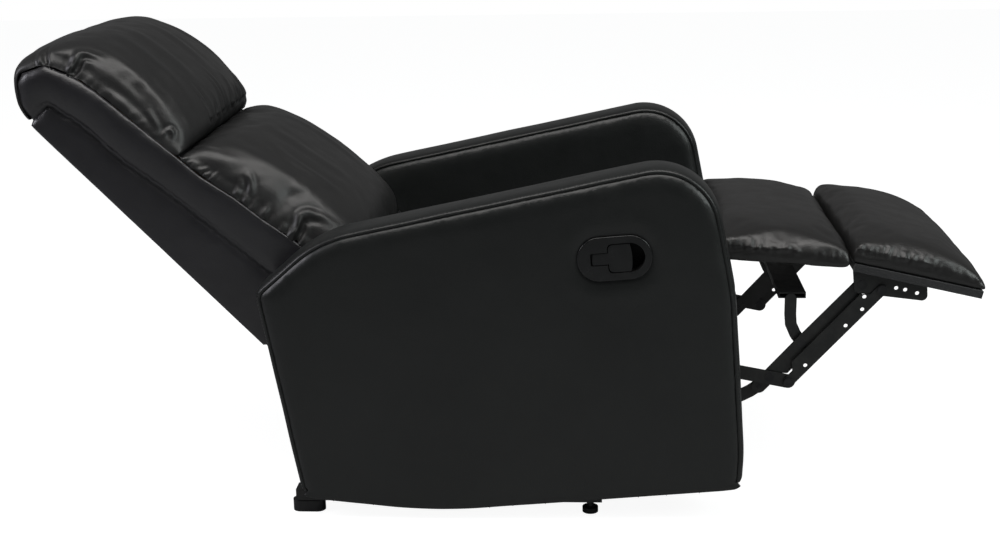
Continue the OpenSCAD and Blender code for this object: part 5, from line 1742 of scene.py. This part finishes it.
@dataclass
class Handle:
    """The release handle: a moulded plate with a cup behind its slot, and a paddle that swings out.

    Attributes:
        finishes: The chair's finishes.
        length: The plate's length in millimetres.
        height: The plate's height in millimetres.
        centre: Place of its middle, in millimetres from the arms' front edge and the floor.
        tilt: Rise of its length towards the front in degrees.
        face: Distance of the arm's face from the chair's middle in millimetres.
        stem: Half of the paddle's stem's height in millimetres.
        head: Half of the paddle's head's height in millimetres.
        play: Gap about the paddle in millimetres.
        floor: Depth of the cup in millimetres.
    """

    finishes: Finishes
    length: float = 122.0
    height: float = 74.0
    centre: tuple[float, float] = (-212.0, 461.0)
    tilt: float = 4.5
    face: float = 340.0
    stem: float = 9.3
    head: float = 22.8
    play: float = 1.5
    floor: float = 21.5

    @classmethod
    def oval(cls, length: float, height: float, step: float) -> np.ndarray:
        """Returns a tilted oval about the handle's centre, counterclockwise, in millimetres.

        Args:
            length: Its length.
            height: Its height.
            step: Distance between its points.
        """
        r, reach = height / 2, (length - height) / 2
        angles = np.linspace(-math.pi / 2, math.pi / 2, round(math.pi * r / step))
        turn = [(reach + r * math.cos(t), r * math.sin(t)) for t in angles]
        far = [(-x, -z) for x, z in turn]
        count = max(2, round(2 * reach / step))
        upper = [(reach - 2 * reach * k / count, r) for k in range(1, count)]
        lower = [(-x, -z) for x, z in upper]
        c, s = math.cos(math.radians(cls.tilt)), math.sin(math.radians(cls.tilt))
        x, z = np.array(turn + upper + far + lower).T
        return np.column_stack([x * c - z * s + cls.centre[0], x * s + z * c + cls.centre[1]])

    def build(self) -> None:
        """Builds the housing and the paddle."""
        self.add_housing()
        self.add_paddle()
        log.info("release handle")

    def set_in_place(self, obj: bpy.types.Object) -> None:
        """Turns a piece modelled about the origin, facing -Y, into its place on the arm."""
        pick(obj)
        obj.matrix_world = (
            Matrix.Translation((self.centre[0] * MM + FRONT_X, -self.face * MM, self.centre[1] * MM))
            @ Matrix.Rotation(math.radians(-self.tilt), 4, "Y"))
        bpy.ops.object.transform_apply(location=True, rotation=True, scale=True)

    def slab(self, name: str, length: float, height: float, near: float, far: float) -> bpy.types.Object:
        """Adds an oval slab about the origin.

        Args:
            name: Its name.
            length: Its length in millimetres.
            height: Its height in millimetres.
            near: Depth of its face in millimetres.
            far: Depth of its back in millimetres.

        Returns:
            The slab.
        """
        bpy.ops.object.select_all(action="DESELECT")
        bpy.ops.mesh.primitive_cylinder_add(
            vertices=72, radius=height / 2 * MM, depth=(far - near) * MM,
            location=(0, (near + far) / 2 * MM, 0), rotation=(math.pi / 2, 0, 0))
        obj = bpy.context.object
        obj.name = name
        bpy.ops.object.transform_apply(location=True, rotation=True, scale=True)
        for sign in (1, -1):
            self.shift(obj, sign * (length - height) / 2 * MM, sign)
        return obj

    def shift(self, obj: bpy.types.Object, along: float, half: int = 0) -> None:
        """Moves points of a mesh along X.

        Args:
            obj: The object.
            along: How far they move, in metres.
            half: 1 for the points ahead of the origin, -1 for those behind it, 0 for all.
        """
        pick(obj)
        bpy.ops.object.mode_set(mode="EDIT")
        bpy.ops.mesh.select_all(action="DESELECT")
        bpy.ops.object.mode_set(mode="OBJECT")
        for vertex in obj.data.vertices:
            vertex.select = half == 0 or half * vertex.co.x > 1e-6
        bpy.ops.object.mode_set(mode="EDIT")
        bpy.ops.transform.translate(value=(along, 0, 0))
        bpy.ops.object.mode_set(mode="OBJECT")

    def block(self, low: tuple, high: tuple, corner: float) -> bpy.types.Object:
        """Adds a block with the edges along Y rounded.

        Args:
            low: Its lowest corner in millimetres.
            high: Its highest corner in millimetres.
            corner: Radius of its edges in millimetres.

        Returns:
            The block.
        """
        low, high = np.array(low) * MM, np.array(high) * MM
        bpy.ops.object.select_all(action="DESELECT")
        bpy.ops.mesh.primitive_cube_add(size=1, location=tuple((low + high) / 2), scale=tuple(high - low))
        obj = bpy.context.object
        bpy.ops.object.transform_apply(location=True, rotation=True, scale=True)
        bpy.ops.object.mode_set(mode="EDIT")
        bpy.ops.mesh.select_mode(type="EDGE")
        bpy.ops.mesh.select_all(action="DESELECT")
        bpy.ops.object.mode_set(mode="OBJECT")
        for edge in obj.data.edges:
            a, b = (obj.data.vertices[i].co for i in edge.vertices)
            edge.select = abs(a.x - b.x) < 1e-6 and abs(a.z - b.z) < 1e-6
        bpy.ops.object.mode_set(mode="EDIT")
        bpy.ops.mesh.bevel(offset=corner * MM, segments=6, affect="EDGES")
        bpy.ops.object.mode_set(mode="OBJECT")
        bpy.ops.object.mode_set(mode="EDIT")
        bpy.ops.mesh.select_mode(type="VERT")
        bpy.ops.object.mode_set(mode="OBJECT")
        return obj

    def cut(self, obj: bpy.types.Object, cutter: bpy.types.Object, operation: str = "DIFFERENCE") -> None:
        """Cuts or joins an object with another one, and removes that one.

        Args:
            obj: The object that is kept.
            cutter: The object that is removed.
            operation: What the two make.
        """
        applied(obj, "BOOLEAN", operation=operation, object=cutter, solver="EXACT")
        bpy.data.objects.remove(cutter)

    def shade(self, obj: bpy.types.Object) -> None:
        """Shades the rounded edges smoothly, and the faces that look along Y flat."""
        pick(obj)
        bpy.ops.object.shade_smooth_by_angle(angle=math.radians(40))
        for face in obj.data.polygons:
            face.use_smooth = abs(face.normal.y) < 0.9999

    def within(self, place: Vector) -> bool:
        """Tells whether a place lies inside the cup's opening, seen from the side."""
        x = (place.x - FRONT_X) / MM - self.centre[0]
        z = place.z / MM - self.centre[1]
        return math.hypot(max(abs(x) - (self.length - self.height) / 2, 0), z) < 27

    def add_housing(self) -> None:
        """Adds the plate and its cup, with the faces inside the cup's opening painted near black as shade."""
        plate = self.slab("handle_plate", self.length, self.height, -3.2, 1.0)
        applied(plate, "BEVEL", width=0.0022, segments=4, limit_method="ANGLE", angle_limit=math.radians(50))
        cup = self.slab("handle_cup", self.length - 13, self.height - 13, 0.5, 23.8)
        self.cut(plate, cup, "UNION")
        narrow, wide, ahead = self.stem + self.play, self.head + 1.8, -8
        slot = self.block((-39, ahead, -narrow), (-5, self.floor, narrow), 3.0)
        well = self.block((-11.3, ahead, -wide), (20, self.floor, wide), 8.0)
        end = self.slab("handle_well", 60.3, 2 * wide, ahead, self.floor)
        self.shift(end, 18.85 * MM)
        self.cut(plate, slot)
        self.cut(plate, end)
        self.cut(plate, well)
        applied(plate, "BEVEL", width=0.0007, segments=3, limit_method="ANGLE", angle_limit=math.radians(40))
        self.shade(plate)
        self.set_in_place(plate)
        self.finishes.wear(plate, "gloss_plastic")
        # Painted shade: the faces inside the cup's opening take the near-black finish, so the recess looks
        # dark.
        plate.data.materials.append(self.finishes.by_name["well"])
        for face in plate.data.polygons:
            if face.center.y > (4.5 - self.face) * MM and self.within(face.center):
                face.material_index = 1
        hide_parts("handle_housing")
        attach(plate, "root")

    def add_paddle(self) -> None:
        """Adds the paddle, with its dished head and the barrel about its pin."""
        front, behind = -1.6, 4.0
        paddle = self.block((-34.5, -1.2, -self.stem), (-6, behind, self.stem), 1.5)
        paddle.name = "handle_lever"
        head = self.block((-10, front, -self.head), (14, behind, self.head), 8.0)
        tip = self.block((4, front, -self.head), (28.5, behind, self.head), 3.0)
        self.cut(head, tip, "UNION")
        bulge = 2 * 91.2
        disc = self.slab("handle_head_disc", bulge, bulge, -6, 12)
        self.shift(disc, -62.7 * MM)
        self.cut(head, disc, "INTERSECT")
        self.cut(paddle, head, "UNION")
        bpy.ops.object.select_all(action="DESELECT")
        bpy.ops.mesh.primitive_cylinder_add(
            vertices=32, radius=4.2 * MM, depth=2 * self.stem * MM, location=(-35 * MM, behind * MM, 0))
        barrel = bpy.context.object
        bpy.ops.object.transform_apply(location=True, rotation=True, scale=True)
        self.cut(paddle, barrel, "UNION")
        applied(paddle, "BEVEL", width=0.0008, segments=3, limit_method="ANGLE", angle_limit=math.radians(40))
        self.shade(paddle)
        self.set_in_place(paddle)
        self.finishes.wear(paddle, "gloss_plastic")
        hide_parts("handle_paddle")
        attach(paddle, "handle")


def pillow_specs(finishes: Finishes) -> list[Cushion]:
    """Returns every cushion of the chair.

    Args:
        finishes: The chair's finishes.
    """
    near, far = -243, 243
    seam = tuple((a * BackCovers.length, b * BackCovers.depth) for a, b in BackCovers.seam)
    headrest = Cushion(
        "headrest_cushion", "back", BACK, finishes, fill=0.85, shrink=6, seam=seam[:9],
        presses=(Press(455, 398, -8, 393.6),),
        folds=(
            Fold(((659, -243, -45), (668, -230, -41), (676, -205, -36)), -4.5, 4, Fade.FAR_END),
            Fold(((664, -243, -52), (674, -228, -49), (680, -205, -44)), 3.5, 5, Fade.FAR_END),
            Fold(((614, -243, -25), (618, -239, -7), (622, -231, 5), (600, -226, 16)), -5, 4.5, Fade.FAR_END),
            Fold(((622, -242, -22), (630, -236, -4), (628, -224, 8), (590, -214, 22)), 4.5, 6, Fade.FAR_END),
            Fold(((634, -104, 31), (530, -147, 59), (444, -158, 58)), 3, 14),
            Fold(((628, -193, 23), (534, -214, 40), (458, -225, 35)), 3, 11),
            Fold(((640, -40, 36), (560, -70, 60), (470, -90, 66)), 2.2, 12),
            Fold(((640, 60, 36), (560, 40, 60), (470, 20, 66)), 2.2, 12),
            Fold(((634, 150, 31), (540, 160, 57), (450, 165, 60)), 2.6, 13),
            Fold(((437, -243, 1), (439, -239, 12), (434, -236, 20), (424, -240, 9)), 3, 4),
            Fold(((488, -240, 19), (471, -240, 11), (451, -241, 8)), 2.5, 5),
            Fold(((560, -242, -8), (520, -243, -4), (480, -243, -6)), 2, 7),
            Fold(((650, 243, -40), (668, 230, -36), (676, 200, -32)), -4.5, 4, Fade.FAR_END),
            Fold(((600, 243, -20), (610, 236, 0), (605, 222, 18)), 4, 5, Fade.FAR_END),
        ),
        gathers=(
            Gathers(((408, -130, 52), (404, 0, 58), (408, 225, 50)), (1, 0.12, 0.1), 17, 78, 4.2, 6, 11),
            Gathers(((440, near, -6), (600, near, -24)), (0.1, 0.35, 1), 9, 20, 1.5, 5, 12),
            Gathers(((420, far, -4), (600, far, -24)), (0.1, -0.35, 1), 11, 26, 2.6, 4.5, 13),
            Gathers(((672, -200, -60), (682, 0, -60), (672, 200, -60)), (-1, 0, 1), 12, 46, 2.4, 7, 14),
        ),
    )
    lumbar = Cushion(
        "lumbar_cushion", "back", BACK, finishes, fill=0.8, shrink=6, seam=seam[7:],
        presses=(Press(345, 391, 6, 392.8),),
        folds=(
            Fold(((168, -243, 30), (176, -239, 52), (185, -235, 70), (171, -226, 88), (122, -217, 102)),
                 5.5, 6, Fade.FAR_END),
            Fold(((160, -243, 32), (164, -240, 52), (168, -236, 66), (150, -228, 84)), -4.5, 5, Fade.FAR_END),
            Fold(((310, -123, 92), (255, -148, 105), (155, -142, 125)), 2, 9),
            Fold(((340, -60, 88), (250, -70, 112), (150, -60, 130)), 2, 13),
            Fold(((340, 70, 88), (250, 90, 112), (150, 80, 130)), 2, 13),
            Fold(((300, -229, 57), (281, -237, 50), (262, -241, 30)), 3.2, 5),
            Fold(((286, -242, 20), (290, -240, 32), (296, -236, 44)), 3.5, 4.5, Fade.FAR_END),
            Fold(((266, -243, 20), (272, -240, 34), (278, -237, 46)), 3.5, 4.5, Fade.FAR_END),
            Fold(((226, -243, 22), (232, -240, 36), (238, -237, 46)), 3, 4.5, Fade.FAR_END),
            Fold(((385, -170, 35), (333, -190, 68), (237, -198, 95), (133, -200, 112)), 2.2, 14),
            Fold(((160, 243, 32), (168, 238, 56), (160, 228, 84)), 5, 6, Fade.FAR_END),
        ),
        gathers=(
            Gathers(((390, near, -4), (330, near, 6)), (-0.15, 0.3, 1), 7, 20, 3.2, 3.6, 21),
            Gathers(((300, near, 12), (180, near, 28)), (0.1, 0.3, 1), 8, 24, 2.2, 4.6, 22),
            Gathers(((390, far, -4), (180, far, 28)), (0, -0.3, 1), 15, 28, 3.2, 4.2, 23),
            Gathers(((388, -225, 12), (390, 0, 30), (388, 225, 12)), (-1, 0.05, 0.3), 13, 42, 2.4, 6, 24),
        ),
    )
    seat = Cushion(
        "seat_cushion", "root", SEAT, finishes, fill=0.85, shrink=6, cap=22, voxel=6, tuck=(10, 4),
        gathers=(
            Gathers(((20, near, 60), (460, near, 70)), (0, 0.6, 1), 14, 40, 2.2, 6, 31),
            Gathers(((20, far, 60), (460, far, 70)), (0, -0.6, 1), 14, 40, 2.2, 6, 32),
        ),
    )
    pads = []
    for name, lie, length, seed, press in (
            ("upper", UPPER_PAD, 205, 41, (Press(150, 204, 11, 211.9, 0.0717), Press(55, -5, -7, -40))),
            ("lower", LOWER_PAD, 222, 43, (Press(50, 2, -9, -5.5, -0.0717), Press(150, 220, 6, 260)))):
        pads.append(Cushion(
            f"leg_pad_{name}", "leg_rest", lie, finishes, fill=0.75, finish="pad", shrink=3, cap=22,
            surplus=0.004, tuck=(8, 4), voxel=4.5, waves=0.7, presses=press,
            gathers=(
                Gathers(((4, near, 26), (length * 0.6, near, 26)), (0, 0.8, 1), 12, 24, 2.6, 4.6, seed),
                Gathers(((length * 0.55, near, 20), (length - 8, near, 18)), (0, 0.55, 1), 6, 18, 1.4, 4.5,
                        seed + 1),
                Gathers(((4, far, 20), (length - 8, far, 20)), (0, -0.55, 1), 17, 22, 2.4, 4.2, seed + 2),
            )))
    dust = Cushion(
        "back_dust_roll", "back", BACK, finishes, fill=0.3, finish="dust_cloth", shrink=2, cap=6,
        surplus=0.04, voxel=4, waves=1.6, half=229.5, pinned=2.0,
    )
    return [headrest, lumbar, seat, *pads, dust]


def dress_frame(finishes: Finishes) -> None:
    """Gives every node of the frame the finish of its slot in the record.

    Args:
        finishes: The chair's finishes.
    """
    for part in frame["record"]["subparts"]:
        finishes.wear(frame["nodes"][part["node"]], part["material_slot"])
    log.info("frame: %d nodes dressed", len(frame["nodes"]))


def main() -> None:
    """Builds the studio, the finishes and every piece."""
    logging.basicConfig(level=logging.INFO, format="%(message)s")
    Studio().build()
    finishes = Finishes()
    dress_frame(finishes)
    for side in Side:
        Arm(side, finishes).build()
    for cushion in pillow_specs(finishes):
        cushion.build()
    BackCovers(finishes).build()
    Flap(finishes).build()
    GapStrip(finishes).build()
    LiftSprings(finishes).build()
    Handle(finishes).build()


if __name__ == "__main__":
    main()
